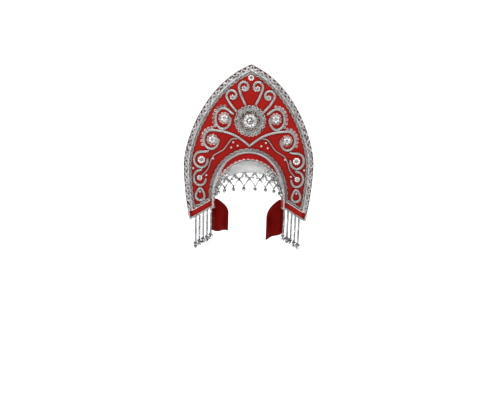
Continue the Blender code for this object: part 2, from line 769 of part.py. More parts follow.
def build_net(finish):
    """Large diamonds over the hem's beads, then small ones up to the band, all cut through."""
    mesh = bmesh.new()
    hem = net_row(mesh, 1.0, 0, 1)
    knots = net_row(mesh, NET_KNOT_DROP, -0.5, 1)
    rows, cells = fine_netting(mesh)
    cells += diamonds(mesh, hem, knots, rows[0][1::2])
    for k, knot in enumerate(knots):
        upper = rows[0][max(2 * k - 1, 0):2 * k + 2]
        cells.append(mesh.faces.new(upper + [knot]))
    bmesh.ops.recalc_face_normals(mesh, faces=mesh.faces)
    bmesh.ops.inset_individual(mesh, faces=cells, thickness=NET_STRAND / 2, use_even_offset=True)
    bmesh.ops.delete(mesh, geom=cells, context="FACES")
    net = add_object("net", mesh, finish)
    wall = net.modifiers.new("wall", "SOLIDIFY")
    wall.thickness = NET_THICKNESS
    wall.offset = 0
    wall.use_even_offset = False


def ball(centre, radius, sides=10, levels=4):
    """A bead's rings of corners, pole to pole."""
    mesh = bmesh.new()
    poles = [mesh.verts.new(centre + Vector((0, 0, radius * end))) for end in (1, -1)]
    rings = []
    for i in range(1, levels):
        rise = math.pi * i / levels
        ring = []
        for k in range(sides):
            turn = math.tau * k / sides
            away = Vector((math.cos(turn) * math.sin(rise), math.sin(turn) * math.sin(rise), math.cos(rise)))
            ring.append(mesh.verts.new(centre + away * radius))
        rings.append(ring)
    for k in range(sides):
        after = (k + 1) % sides
        mesh.faces.new((poles[0], rings[0][k], rings[0][after]))
        mesh.faces.new((poles[1], rings[-1][after], rings[-1][k]))
        for one, two in zip(rings, rings[1:]):
            mesh.faces.new((one[k], two[k], two[after], one[after]))
    return mesh


def build_net_beads(finish):
    """A round bead under each point of the hem."""
    for index in range(NET_BEADS):
        hem = hem_point(net_turn(index))
        fall = (net_point(net_turn(index), 1.0) - net_point(net_turn(index), 0.9)).normalized()
        reach = SEWN_GAP + NET_BEAD_RADIUS
        name = f"net_bead_{index + 1:02d}"
        add_object(name, ball(hem + fall * reach, NET_BEAD_RADIUS), finish)


def strand_top(side, index):
    """World place under a lobe's lower edging where a strand hangs."""
    outer, inner = lobe_line(0.0)
    share = STRAND_FIRST + (STRAND_LAST - STRAND_FIRST) * index / (STRANDS - 1)
    edge = outer.lerp(inner, share)
    under = SEWN_GAP * 2 + LOBE_EDGING_THICKNESS + STRAND_RADIUS * 0.7
    return crest_point(side * edge.x, edge.y, 0) - Vector((0, 0, under))


def build_strands(finish):
    """A straight string of small beads with a larger bead at its foot, as one solid."""
    for label, side in (("left", -1), ("right", 1)):
        for index in range(STRANDS):
            top = strand_top(side, index)
            foot = top - Vector((0, 0, STRAND_LENGTH))
            line = bpy.data.curves.new("strand", "CURVE")
            line.dimensions = "3D"
            line.bevel_depth = STRAND_RADIUS
            line.bevel_resolution = 2
            line.use_fill_caps = True
            spline = line.splines.new("POLY")
            spline.points.add(1)
            spline.points[0].co = (*top, 1)
            spline.points[1].co = (*foot, 1)
            tube = bpy.data.objects.new("tube", line)
            bpy.context.scene.collection.objects.link(tube)
            bpy.context.view_layer.update()
            graph = bpy.context.evaluated_depsgraph_get()
            mesh = bmesh.new()
            mesh.from_mesh(bpy.data.meshes.new_from_object(tube.evaluated_get(graph)))
            bmesh.ops.remove_doubles(mesh, verts=mesh.verts, dist=1e-6)
            bpy.data.objects.remove(tube)
            strand = add_object(f"strand_{label}_{index + 1}", mesh, finish)
            bead = ball(foot - Vector((0, 0, STRAND_BEAD_RADIUS * 0.6)), STRAND_BEAD_RADIUS)
            join(strand, [add_object("bead", bead, finish)])


def ribbon_point(side, across, share, length, depth):
    """A place on a hanging ribbon: across from 0 at its outer edge to 1, share from the seam down."""
    top = crest_point(side * ARCH_WIDTH / 2, RIBBON_SEAM, -BAND_BEHIND - SEWN_GAP)
    gather = RIBBON_GATHER + (1 - RIBBON_GATHER) * min(1.0, share * 2.2)
    x = side * (RIBBON_OUTWARD - across * RIBBON_WIDTH * gather)
    wave = math.sin((2 * across - 1) * math.pi * 1.2 + 0.6 * side) * min(1.0, share * 1.6)
    y = RIBBON_THICKNESS / 2 + RIBBON_FOLD * (1.2 * min(1.0, share * 4) + wave)
    return top + Vector((x, y + depth, -length * share))


def build_ribbon(name, side, length, slant, finish):
    """A satin tie that hangs from its seam behind a lobe's inner corner."""
    columns, rows = 6, 8
    front, back = [], []
    for i in range(rows + 1):
        share = i / rows
        line = [[], []]
        for k in range(columns + 1):
            across = k / columns
            cut = length - slant * (1 - across)
            for skin, depth in zip(line, (-RIBBON_THICKNESS / 2, RIBBON_THICKNESS / 2)):
                skin.append(ribbon_point(side, across, share, cut, depth))
        front.append(line[0])
        back.append(line[1])
    add_object(name, grid_solid(front, back), finish)


def main():
    clear_scene()
    satin = material("red_satin", SATIN_RED, 0.55, 0.0)
    ribbon = material("ribbon_satin", RIBBON_RED, 0.35, 0.0)
    silver = material("silver_thread", SILVER, 0.35, 0.85)
    crystal = material("silver_crystal", SILVER, 0.12, 0.9)
    pearl = material("pearl_beads", PEARL, 0.3, 0.4)
    build_crest(satin)
    build_headband(satin)
    build_band_edging(silver)
    build_gimp(silver)
    build_rim_cord(silver)
    build_edge_braid(silver)
    build_arch_braid(silver)
    build_lobe_edging("lobe_edging_left", -1, silver)
    build_lobe_edging("lobe_edging_right", 1, silver)
    build_scrolls(silver, crystal)
    build_drop_loops(silver)
    build_vines(silver, crystal)
    build_medallion(crystal)
    build_rosettes(crystal)
    build_net(pearl)
    build_net_beads(crystal)
    build_strands(crystal)
    build_ribbon("ribbon_left", -1, LEFT_RIBBON_LENGTH, 0.0, ribbon)
    build_ribbon("ribbon_right", 1, RIGHT_RIBBON_LENGTH, RIGHT_RIBBON_SLANT, ribbon)


main()
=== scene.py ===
import bisect
import random
from math import atan2, copysign, cos, exp, pi, radians, sin, sqrt, tan, tau

import bmesh
import bpy
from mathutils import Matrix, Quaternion, Vector, kdtree


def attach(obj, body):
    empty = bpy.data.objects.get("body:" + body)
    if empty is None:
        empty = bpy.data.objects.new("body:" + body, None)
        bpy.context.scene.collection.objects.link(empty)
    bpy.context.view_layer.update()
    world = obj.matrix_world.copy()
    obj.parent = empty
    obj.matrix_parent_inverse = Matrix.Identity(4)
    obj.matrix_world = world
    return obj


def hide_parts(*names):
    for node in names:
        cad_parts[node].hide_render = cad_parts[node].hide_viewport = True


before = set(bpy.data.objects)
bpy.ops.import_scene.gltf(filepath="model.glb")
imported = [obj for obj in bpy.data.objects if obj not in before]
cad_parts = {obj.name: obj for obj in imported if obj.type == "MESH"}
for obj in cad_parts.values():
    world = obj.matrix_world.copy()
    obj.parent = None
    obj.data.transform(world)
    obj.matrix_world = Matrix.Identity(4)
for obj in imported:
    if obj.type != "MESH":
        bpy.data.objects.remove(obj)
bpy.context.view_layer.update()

scene = bpy.context.scene
bothSides = (("Left", -1), ("Right", 1))

print("camera, floor and light")
photoView = {
    "azimuth": 2,
    "elevation": 20,
    "roll": 1.8,
    "distance": 1.9,
    "sensor": 36,
    "lens": 63.3888,
    "aim": (0.0046, 0.0, -0.1029),
}
studio = {
    "floor": -0.39,
    "floorSize": 30.0,
    "floorColour": (0.93, 0.93, 0.93),
    "floorRoughness": 0.9,
    "floorGlow": 0.47,
    "skyColour": (0.97, 0.98, 1.0),
    "skyStrength": 0.50,
    "horizon": (0.10, 0.24),  # how high the bright band along the horizon reaches, and where it has faded
    "sunFrom": (-0.5, -0.75, 1.25),  # one wide light that evens out the floor
    "sunPower": 1.0,
    "sunSoftness": 18,
    "boxAim": (0, 0, -0.02),
}
softBoxes = {  # place, size, power
    "topBox": ((-0.05, -0.42, 0.56), 0.45, 3.0),
    "leftBox": ((-1.3, -1.0, 0.55), 0.5, 4.5),
    "rightBox": ((1.3, -1.2, 0.35), 0.4, 3.0),
    "backBox": ((0.3, 1.4, 0.9), 0.8, 5.0),
}


def newObject(name, data):
    made = bpy.data.objects.new(name, data)
    scene.collection.objects.link(made)
    return made


def put(tree, kind, inputs=None, **settings):
    # adds a node, sets it, and links or fills its inputs
    node = tree.nodes.new(kind)
    for key, value in settings.items():
        setattr(node, key, value)
    for key, value in (inputs or {}).items():
        if isinstance(value, bpy.types.NodeSocket):
            tree.links.new(value, node.inputs[key])
        else:
            node.inputs[key].default_value = value
    return node


def ramp(tree, factor, *stops):
    # colours by factor; each stop is (place, colour)
    node = put(tree, "ShaderNodeValToRGB", {"Fac": factor})
    marks = node.color_ramp.elements
    while len(marks) < len(stops):
        marks.new(0.5)
    for mark, (place, colour) in zip(marks, stops):
        mark.position = place
        mark.color = (*colour, 1)
    return node.outputs["Color"]


def blankMaterial(name, values):
    made = bpy.data.materials.new(name)
    made.use_nodes = True
    shader = made.node_tree.nodes["Principled BSDF"].inputs
    for label, value in values.items():
        shader[label].default_value = value
    return made, made.node_tree, shader


def makeCamera():
    azimuth, elevation = radians(photoView["azimuth"]), radians(photoView["elevation"])
    away = Vector((-sin(azimuth) * cos(elevation), -cos(azimuth) * cos(elevation), sin(elevation)))
    camera = newObject("camera", bpy.data.cameras.new("camera"))
    camera.location = Vector(photoView["aim"]) + away * photoView["distance"]
    roll = Quaternion((0, 0, 1), radians(photoView["roll"]))
    camera.rotation_euler = ((-away).to_track_quat("-Z", "Y") @ roll).to_euler()
    camera.data.sensor_width = photoView["sensor"]
    camera.data.lens = photoView["lens"]
    scene.camera = camera


def makeFloor():
    half, low = studio["floorSize"] / 2, studio["floor"]
    mesh = bpy.data.meshes.new("floor")
    corners = [(-half, -half, low), (half, -half, low), (half, half, low), (-half, half, low)]
    mesh.from_pydata(corners, [], [(0, 1, 2, 3)])
    mesh.materials.append(blankMaterial("floorPaint", {
        "Base Color": (*studio["floorColour"], 1),
        "Roughness": studio["floorRoughness"],
        "Emission Color": (1, 1, 1, 1),
        "Emission Strength": studio["floorGlow"],
    })[0])
    newObject("floor", mesh)


def makeSky():
    world = bpy.data.worlds.new("studio")
    world.use_nodes = True
    tree = world.node_tree
    place = put(tree, "ShaderNodeTexCoord").outputs["Generated"]
    up = put(tree, "ShaderNodeSeparateXYZ", {0: place}).outputs[2]
    low, high = studio["horizon"]
    above = tuple(c * studio["skyStrength"] for c in studio["skyColour"])
    sky = tree.nodes["Background"].inputs
    tree.links.new(ramp(tree, up, (low, (1.0, 1.0, 1.0)), (high, above)), sky["Color"])
    sky["Strength"].default_value = 1.0
    scene.world = world


def makeLamp(name, kind, place, toward, power):
    light = bpy.data.lights.new(name, kind)
    light.energy = power
    lamp = newObject(name, light)
    lamp.location = place
    lamp.rotation_euler = toward.to_track_quat("-Z", "Y").to_euler()
    return light


makeCamera()
makeFloor()
makeSky()
overhead = makeLamp("overhead", "SUN", (0, 0, 0), -Vector(studio["sunFrom"]), studio["sunPower"])
overhead.angle = radians(studio["sunSoftness"])
for name, (place, size, power) in softBoxes.items():
    makeLamp(name, "AREA", place, Vector(studio["boxAim"]) - Vector(place), power).size = size
scene.view_settings.view_transform = "Standard"

print("board and chart")
board = {
    "width": 0.277,
    "height": 0.330,
    "thickness": 0.004,
    "bend": 0.60,
    "lean": radians(10),
    "tip": 0.008,
    "tipShape": (0.45, 0.6, 0.35),  # how far the rounding starts down, reaches up and reaches out, in tips
    "curveSteps": (50, 140, 16),
    "lobeStep": 0.031,
    "archWidth": 0.148,
    "archRise": 0.092,
    "archSpring": 0.054,
    "raised": 0.0027,  # room over the arch's crown, for the band
    "lobeSide": ((0.895, 0.0), (0.945, 0.07), (1.0, 0.24), (1.0, 0.36)),
    "shoulder": ((1.0, 0.36), (1.0, 0.50), (0.71, 0.86)),
}
trims = {  # widths of the braids, from the board's edge inwards, and their places
    "edgeBraid": 0.0088,
    "rimCord": 0.0016,
    "gimp": 0.0056,
    "gimpCorner": 0.011,
    "archBraid": 0.0046,
    "hemSatin": 0.0145,
    "gap": 0.0003,
    "routeStep": 0.0015,
}
face = board["thickness"] / 2
sewnOn = face + trims["gap"]
archHalfWidth = board["archWidth"] / 2
archTop = board["archSpring"] + board["archRise"]
chartScale = {  # chart units at the arch and at the field's edge, then their places in metres
    "across": (34.6, 56.43, archHalfWidth, 0.1219),
    "up": (68.2, 145.53, archTop, 0.31184),
}


def heading(turn):
    return Vector((cos(turn), sin(turn)))


def lean(forward, up):
    y = -forward * cos(board["lean"]) + up * sin(board["lean"])
    z = forward * sin(board["lean"]) + up * cos(board["lean"])
    return y, z + board["raised"]


def boardPoint(s, t, d):
    # a point s across the board, t up it and d in front of its middle, as a place in the room
    turn = s / board["bend"]
    y, z = lean((board["bend"] + d) * cos(turn) - board["bend"], t - archTop)
    return Vector(((board["bend"] + d) * sin(turn), y, z))


def boardNormal(s):
    turn = s / board["bend"]
    y, z = lean(cos(turn), 0)
    return Vector((sin(turn), y, z - board["raised"]))


def twoScales(value, knee, end, kneeAt, endAt):
    if value <= knee:
        return value * kneeAt / knee
    return kneeAt + (value - knee) / (end - knee) * (endAt - kneeAt)


def chart(place, side=1):
    column, row = place
    s, t = twoScales(abs(column), *chartScale["across"]), twoScales(row, *chartScale["up"])
    return Vector((copysign(s, side * column), t))


def bezier(points, share):
    a, b, c, d = points
    rest = 1 - share
    return a * rest**3 + b * (3 * rest**2 * share) + c * (3 * rest * share**2) + d * share**3


def curve(points, steps):
    return [bezier(points, i / steps) for i in range(steps)]


def lineLength(points):
    return sum((b - a).length for a, b in zip(points, points[1:]))


def evenly(points, count):
    step = lineLength(points) / (count - 1)
    found, walked, aim = [points[0]], 0.0, step
    for a, b in zip(points, points[1:]):
        length = (b - a).length
        while walked + length >= aim - 1e-12 and len(found) < count - 1:
            found.append(a.lerp(b, (aim - walked) / length))
            aim += step
        walked += length
    return found + [points[-1]]


def spaced(points, step):
    return evenly(points, max(3, round(lineLength(points) / step) + 1))


def mirrored(points):
    return [Vector((-p.x, p.y)) for p in points]


def whole(half):
    return mirrored(half) + half[::-1][1:]


def outlineHalf():
    half, height, tip = board["width"] / 2, board["height"], board["tip"]
    down, upward, outward = (tip * share for share in board["tipShape"])
    side = [Vector((half * x, height * y)) for x, y in board["lobeSide"]]
    shoulder = [Vector((half * x, height * y)) for x, y in board["shoulder"]]
    shoulder.append(Vector((tip, height - down)))
    slope = (shoulder[3] - shoulder[2]).normalized()
    top = [shoulder[3], shoulder[3] + slope * upward, Vector((outward, height)), Vector((0, height))]
    sideSteps, shoulderSteps, topSteps = board["curveSteps"]
    return curve(side, sideSteps) + curve(shoulder, shoulderSteps) + curve(top, topSteps) + [top[3]]


def archHalf(inset=0.0):
    width, rise, low = archHalfWidth + inset, board["archRise"] + inset, board["archSpring"]
    rounding = [Vector((width * cos(radians(i)), low + rise * sin(radians(i)))) for i in range(1, 91)]
    return [Vector((width, board["lobeStep"])), Vector((width, low))] + rounding


def insetOutline(distance):
    outline = outlineHalf()
    kept = []
    for i, point in enumerate(outline):
        along = outline[min(i + 1, len(outline) - 1)] - outline[max(i - 1, 0)]
        point = point + Vector((-along.y, along.x)).normalized() * distance
        if kept and point.x <= 0:
            before = kept[-1]
            return kept + [before.lerp(point, before.x / (before.x - point.x))]
        kept.append(point)
    return kept


def upwardOf(a, b):
    side = Vector((b.y - a.y, a.x - b.x)).normalized()
    return -side if side.y < 0 else side


def lobeLine(offset):
    outer, inner = outlineHalf()[0], Vector((archHalfWidth, board["lobeStep"]))
    shift = upwardOf(outer, inner) * offset
    return outer + shift, inner + shift


def cutAtLine(points, line):
    # what lies above the line
    across = upwardOf(*line)
    heights = [(p - line[0]).dot(across) for p in points]
    for i in range(1, len(points)):
        if heights[i - 1] < 0 <= heights[i]:
            share = heights[i - 1] / (heights[i - 1] - heights[i])
            return [points[i - 1].lerp(points[i], share)] + points[i:]
    return points


print("materials")
satinWeave = {
    "sheenTint": (1.0, 0.18, 0.14, 1),
    "glossTint": (1.0, 0.16, 0.12, 1),
    "sheenRoughness": 0.35,
    "cloudScale": 22,
    "threadScale": 900,
    "mix": (0.55, 0.45),  # of clouds and threads
    "span": (0.34, 0.66),
    "relief": (0.8, 0.18),  # of threads and cross lines
    "weave": 9000,  # floats on a slant, and the finer lines across them
    "slant": 0.6,
    "cross": 1.4,
    # how dark the painted shade on satin goes, as a share of its dark colour
    "pressedTone": 0.35,
    "bump": (0.25, 0.00008),
}
threadWraps = {
    "along": 1500,
    "around": 2.0,
    "patchScale": 240,
    "fineScale": 1100,
    "weights": (0.22, 0.72, 0.14, 0.10),  # of tone, patches, fine grain and wraps in the colour
    "bump": (0.55, 0.00012),
}
stoneCoat = {"weight": 0.15, "roughness": 0.05, "toneWeight": 0.15, "grainScale": 900, "bump": (0.05, 0.0001)}
beadGrain = {
    "weight": 0.2,
    "roughness": 0.08,
    "scale": 280,
    "grainWeight": 0.7,
    "toneWeight": 0.6,
    "shift": -0.21,
    "span": (0.37, 0.56),
    "bump": (0.08, 0.0001),
}
brighter = 1.5


def calc(operation, *values):
    tree = next(value.id_data for value in values if isinstance(value, bpy.types.NodeSocket))
    return put(tree, "ShaderNodeMath", dict(enumerate(values)), operation=operation).outputs[0]


def plus(a, b):
    return calc("ADD", a, b)


def minus(a, b):
    return calc("SUBTRACT", a, b)


def times(a, b):
    return calc("MULTIPLY", a, b)


def over(a, b):
    return calc("DIVIDE", a, b)


def timesPlus(a, b, c):
    return calc("MULTIPLY_ADD", a, b, c)


def objectPlace(tree):
    return put(tree, "ShaderNodeTexCoord").outputs["Object"]


def noise(tree, scale, detail=2.0):
    inputs = {"Vector": objectPlace(tree), "Scale": scale, "Detail": detail}
    return put(tree, "ShaderNodeTexNoise", inputs).outputs[0]


def readNumber(tree, name):
    return put(tree, "ShaderNodeAttribute", attribute_name=name).outputs["Fac"]


def bump(tree, shader, height, strength, distance):
    inputs = {"Height": height, "Strength": strength, "Distance": distance}
    tree.links.new(put(tree, "ShaderNodeBump", inputs).outputs[0], shader["Normal"])


def colourBy(tree, shader, factor, *stops):
    tree.links.new(ramp(tree, factor, *stops), shader["Base Color"])


def brightened(colour):
    return tuple(min(1.0, c * brighter) for c in colour)


def makeSatin(name, dark, light, roughness, sheen, gloss=0.5):
    # woven satin: fine slanting floats, soft mottling, a sheen of its own colour, and painted shade where the
    # piece stores shade in an attribute
    s = satinWeave
    made, tree, shader = blankMaterial(name, {
        "Roughness": roughness,
        "Sheen Weight": sheen,
        "Sheen Roughness": s["sheenRoughness"],
        "Sheen Tint": s["sheenTint"],
        "Specular IOR Level": gloss,
        "Specular Tint": s["glossTint"],
    })
    threads = noise(tree, s["threadScale"], 1)
    mixed = timesPlus(threads, s["mix"][1], times(noise(tree, s["cloudScale"], 3), s["mix"][0]))
    colour = ramp(tree, mixed, (s["span"][0], dark), (s["span"][1], light))
    # the painted shade colour, taken where the piece's shade attribute is high
    deep = (*(c * s["pressedTone"] for c in dark), 1)
    inputs = {0: readNumber(tree, "pressed"), 6: colour, 7: deep}
    tree.links.new(put(tree, "ShaderNodeMix", inputs, data_type="RGBA").outputs[2], shader["Base Color"])
    x, y, z = put(tree, "ShaderNodeSeparateXYZ", {0: objectPlace(tree)}).outputs
    floats = calc("SINE", plus(times(x, s["weave"]), times(z, s["weave"] * s["slant"])))
    cross = calc("SINE", times(z, s["weave"] * s["cross"]))
    height = timesPlus(threads, s["relief"][0], timesPlus(cross, s["relief"][1], floats))
    bump(tree, shader, height, *s["bump"])
    return made


def makeThread(name, dark, light, roughness, metallic, span=(0.42, 0.68)):
    # metal thread: fine wraps round each strand, with darker and lighter stretches
    s = threadWraps
    made, tree, shader = blankMaterial(name, {"Roughness": roughness, "Metallic": metallic})
    slant = times(readNumber(tree, "around"), s["around"] * tau)
    wrap = timesPlus(calc("SINE", timesPlus(readNumber(tree, "run"), s["along"], slant)), 0.5, 0.5)
    toneShare, patchShare, fineShare, wrapShare = s["weights"]
    mixed = timesPlus(readNumber(tree, "tone"), toneShare, times(noise(tree, s["patchScale"], 2), patchShare))
    mixed = timesPlus(wrap, wrapShare, timesPlus(noise(tree, s["fineScale"], 1), fineShare, mixed))
    colourBy(tree, shader, mixed, (span[0], dark), (span[1], light))
    bump(tree, shader, wrap, *s["bump"])
    return made


def coated(name, roughness, metallic, coat):
    return blankMaterial(name, {
        "Roughness": roughness,
        "Metallic": metallic,
        "Coat Weight": coat["weight"],
        "Coat Roughness": coat["roughness"],
    })


def makeCrystal(name, dark, light, roughness, metallic=1.0, span=(0.12, 0.70), most=None):
    # foil-backed cut stone or chrome bead: every facet is painted its own tone from dark to bright, a painted
    # reflection, with the brightest stop a painted glint
    s = stoneCoat
    made, tree, shader = coated(name, roughness, metallic, s)
    tone = timesPlus(readNumber(tree, "tone"), s["toneWeight"], readNumber(tree, "facet"))
    colourBy(tree, shader, tone, (span[0], dark), (span[1], light), (1.0, most or brightened(light)))
    bump(tree, shader, noise(tree, s["grainScale"], 1), *s["bump"])
    return made


def makeBeadGlass(name, dark, light, roughness, metallic):
    # silver-lined seed bead: bright, with a bead here and there darker
    s = beadGrain
    made, tree, shader = coated(name, roughness, metallic, s)
    grain = noise(tree, s["scale"], 1)
    tone = timesPlus(readNumber(tree, "tone"), s["toneWeight"], s["shift"])
    tone = timesPlus(grain, s["grainWeight"], tone)
    colourBy(tree, shader, tone, (s["span"][0], dark), (s["span"][1], light), (1.0, brightened(light)))
    bump(tree, shader, grain, *s["bump"])
    return made


finishes = {  # dark, light, roughness, then sheen and gloss, or metallic, span and brightest
    "boardSatin": (makeSatin, (0.165, 0.0028, 0.0028), (0.25, 0.0052, 0.0045), 0.55, 0.08),
    "liningSatin": (makeSatin, (0.15, 0.003, 0.004), (0.24, 0.005, 0.005), 0.60, 0.10),
    "bandSatin": (makeSatin, (0.18, 0.003, 0.004), (0.34, 0.009, 0.010), 0.40, 0.14, 0.10),
    "ribbonSatin": (makeSatin, (0.050, 0.0003, 0.0003), (0.155, 0.0010, 0.0007), 0.34, 0.03, 0.13),
    "stitchThread": (makeThread, (0.30, 0.010, 0.008), (0.42, 0.02, 0.015), 0.6, 0.0),
    "braidThread": (makeThread, (0.025, 0.024, 0.024), (0.50, 0.505, 0.50), 0.30, 0.85, (0.44, 0.64)),
    "gimpThread": (makeThread, (0.02, 0.024, 0.022), (0.33, 0.36, 0.34), 0.32, 0.85, (0.44, 0.66)),
    "cordThread": (makeThread, (0.06, 0.064, 0.062), (0.52, 0.545, 0.53), 0.32, 0.85, (0.40, 0.60)),
    # the dark thread laid in the ropes' grooves: painted shade
    "darkThread": (makeThread, (0.015, 0.016, 0.016), (0.10, 0.11, 0.105), 0.35, 0.8),
    "rimThread": (makeThread, (0.16, 0.16, 0.16), (0.66, 0.66, 0.65), 0.26, 0.8, (0.36, 0.62)),
    "ringThread": (makeThread, (0.06, 0.066, 0.063), (0.50, 0.53, 0.51), 0.32, 0.85, (0.38, 0.64)),
    "crystal": (makeCrystal, (0.05, 0.05, 0.05), (0.60, 0.62, 0.62), 0.10),
    "chrome": (makeCrystal, (0.008, 0.008, 0.009), (0.26, 0.265, 0.27), 0.12, 1.0, (0.16, 0.62),
               (0.95, 0.96, 0.97)),
    "petalStone": (makeCrystal, (0.16, 0.16, 0.157), (0.72, 0.725, 0.715), 0.20, 0.35, (0.08, 0.50),
                   (0.95, 0.95, 0.94)),
    "seedGlass": (makeBeadGlass, (0.010, 0.010, 0.010), (0.50, 0.505, 0.485), 0.18, 0.85),
    "strandStone": (makeCrystal, (0.008, 0.008, 0.009), (0.34, 0.345, 0.35), 0.12, 1.0, (0.24, 0.64),
                    (0.96, 0.96, 0.97)),
    "pearl": (makeBeadGlass, (0.48, 0.47, 0.45), (0.68, 0.67, 0.64), 0.22, 0.15),
}
finishes = {name: make(name, *values) for name, (make, *values) in finishes.items()}

print("node trees")


def newTree(name, inputs):
    # a geometry node tree and its input sockets; an input's start value tells its kind
    tree = bpy.data.node_groups.new(name, "GeometryNodeTree")
    tree.interface.new_socket("Geometry", in_out="INPUT", socket_type="NodeSocketGeometry")
    for label, start in inputs.items():
        kind = {int: "NodeSocketInt", float: "NodeSocketFloat"}.get(type(start), start)
        made = tree.interface.new_socket(label, in_out="INPUT", socket_type=kind)
        if kind != start:
            made.default_value = start
    tree.interface.new_socket("Geometry", in_out="OUTPUT", socket_type="NodeSocketGeometry")
    return tree, tree.nodes.new("NodeGroupInput").outputs


def vectorMath(tree, operation, *values):
    return put(tree, "ShaderNodeVectorMath", dict(enumerate(values)), operation=operation).outputs[0]


def scaled(tree, vector, factor):
    return put(tree, "ShaderNodeVectorMath", {0: vector, "Scale": factor}, operation="SCALE").outputs[0]


def store(tree, geometry, name, value, domain="POINT"):
    inputs = {"Geometry": geometry, "Name": name, "Value": value}
    return put(tree, "GeometryNodeStoreNamedAttribute", inputs, data_type="FLOAT", domain=domain).outputs[0]


def randomNumber(tree, low, high, seed, index=None):
    inputs = {2: low, 3: high, "Seed": seed}
    if index is not None:
        inputs["ID"] = index
    return put(tree, "FunctionNodeRandomValue", inputs, data_type="FLOAT").outputs[1]


def readUp(tree):
    return put(tree, "GeometryNodeInputNamedAttribute", {"Name": "up"}, data_type="FLOAT_VECTOR").outputs[0]


def evenLine(tree, given, length):
    line = put(tree, "GeometryNodeMeshToCurve", {"Mesh": given["Geometry"]}).outputs[0]
    return put(tree, "GeometryNodeResampleCurve", {"Curve": line, "Length": length}, mode="LENGTH").outputs[0]


def endTree(tree, geometry, material):
    joined = put(tree, "GeometryNodeRealizeInstances", {"Geometry": geometry}).outputs[0]
    done = put(tree, "GeometryNodeSetMaterial", {"Geometry": joined, "Material": material}).outputs[0]
    put(tree, "NodeGroupOutput", {"Geometry": done})
    return tree


def foldedOver(across, lift, radius):
    # bends what lies across the line round a rounded edge
    angle = calc("MINIMUM", calc("MAXIMUM", over(across, radius), -pi / 2), pi / 2)
    flat = minus(calc("ABSOLUTE", across), times(calc("ABSOLUTE", angle), radius))
    reach = plus(radius, lift)
    return minus(times(reach, calc("COSINE", angle)), flat), times(reach, calc("SINE", angle))


def makeBraidTree(folded):
    # strands that weave, twist or loop along a line on the board; folded wraps them round its edge
    tree, given = newTree("foldedBraid" if folded else "braid", {
        "Step": 0.001,
        "Strands": 3,
        "Threads": 2,
        "Pitch": 0.012,
        "Swing": 0.002,
        "Lift Swing": 0.0004,
        "Lift Rate": 2.0,
        "Lift Phase": 0.0,
        "Thread Spacing": 0.0,
        "Radius": 0.0005,
        "Sides": 6,
        "Side Shift": 0.0,
        "Height": 0.0,
        "Fold Radius": 0.0032,
        "Taper": 0.0,
        "Turn": 0.0,
        "Material": "NodeSocketMaterial",
    })
    line = evenLine(tree, given, given["Step"])
    run = put(tree, "GeometryNodeSplineParameter").outputs["Length"]
    line = store(tree, line, "run", run)
    total = put(tree, "GeometryNodeSplineLength").outputs["Length"]
    nearest = calc("MINIMUM", run, minus(total, run))
    ending = over(plus(nearest, 0.00002), plus(given["Taper"], 0.00001))
    ending = calc("POWER", calc("MINIMUM", ending, 1.0), 0.6)
    inputs = {"Geometry": line, "Amount": times(given["Strands"], given["Threads"])}
    copies = put(tree, "GeometryNodeDuplicateElements", inputs, domain="SPLINE")
    index = copies.outputs["Duplicate Index"]
    strand = calc("FLOOR", over(plus(index, 0.25), given["Threads"]))
    thread = minus(index, times(strand, given["Threads"]))
    thread = minus(thread, timesPlus(given["Threads"], 0.5, -0.5))
    phase = plus(over(run, given["Pitch"]), over(strand, given["Strands"]))
    phase = times(plus(phase, given["Turn"]), tau)
    slope = times(over(times(given["Swing"], tau), given["Pitch"]), calc("COSINE", phase))
    level = calc("INVERSE_SQRT", timesPlus(slope, slope, 1.0))
    beside = times(times(thread, given["Thread Spacing"]), level)
    across = plus(times(given["Swing"], calc("SINE", phase)), beside)
    across = timesPlus(across, ending, given["Side Shift"])
    ahead = times(times(beside, slope), -1.0)
    wave = calc("SINE", timesPlus(phase, given["Lift Rate"], given["Lift Phase"]))
    lift = timesPlus(wave, times(given["Lift Swing"], ending), given["Height"])
    if folded:
        across, lift = foldedOver(across, lift, given["Fold Radius"])
    tangent, up = put(tree, "GeometryNodeInputTangent").outputs[0], readUp(tree)
    side = vectorMath(tree, "NORMALIZE", vectorMath(tree, "CROSS_PRODUCT", up, tangent))
    offset = vectorMath(tree, "ADD", scaled(tree, side, across), scaled(tree, up, lift))
    offset = vectorMath(tree, "ADD", offset, scaled(tree, tangent, ahead))
    line = put(tree, "GeometryNodeSetPosition", {"Geometry": copies.outputs[0], "Offset": offset}).outputs[0]
    line = store(tree, line, "tone", randomNumber(tree, 0.0, 1.0, 3, index))
    inputs = {"Resolution": given["Sides"], "Radius": given["Radius"]}
    circle = put(tree, "GeometryNodeCurvePrimitiveCircle", inputs).outputs[0]
    circle = store(tree, circle, "around", put(tree, "GeometryNodeSplineParameter").outputs["Factor"])
    inputs = {"Curve": line, "Profile Curve": circle, "Fill Caps": True}
    tube = put(tree, "GeometryNodeCurveToMesh", inputs).outputs[0]
    tube = put(tree, "GeometryNodeSetShadeSmooth", {"Geometry": tube}).outputs[0]
    return endTree(tree, tube, given["Material"])


def aimAlong(tree, direction, spin):
    # turns a shape's height to a direction, after a turn of its own
    aim = put(tree, "FunctionNodeAlignRotationToVector", {"Vector": direction}, axis="Z").outputs[0]
    inputs = {"Rotation": aim, "Rotate By": spin}
    return put(tree, "FunctionNodeRotateRotation", inputs, rotation_space="LOCAL").outputs[0]


def setEach(tree, given, points, shape, aim, size, toneSeed):
    # one shape at each point, with a tone of its own
    shape = put(tree, "GeometryNodeObjectInfo", {"Object": given[shape]}).outputs["Geometry"]
    inputs = {"Points": points, "Instance": shape, "Rotation": aim, "Scale": size}
    each = put(tree, "GeometryNodeInstanceOnPoints", inputs).outputs[0]
    tone = randomNumber(tree, 0.0, 1.0, plus(given["Seed"], toneSeed))
    return endTree(tree, store(tree, each, "tone", tone, "INSTANCE"), given["Material"])


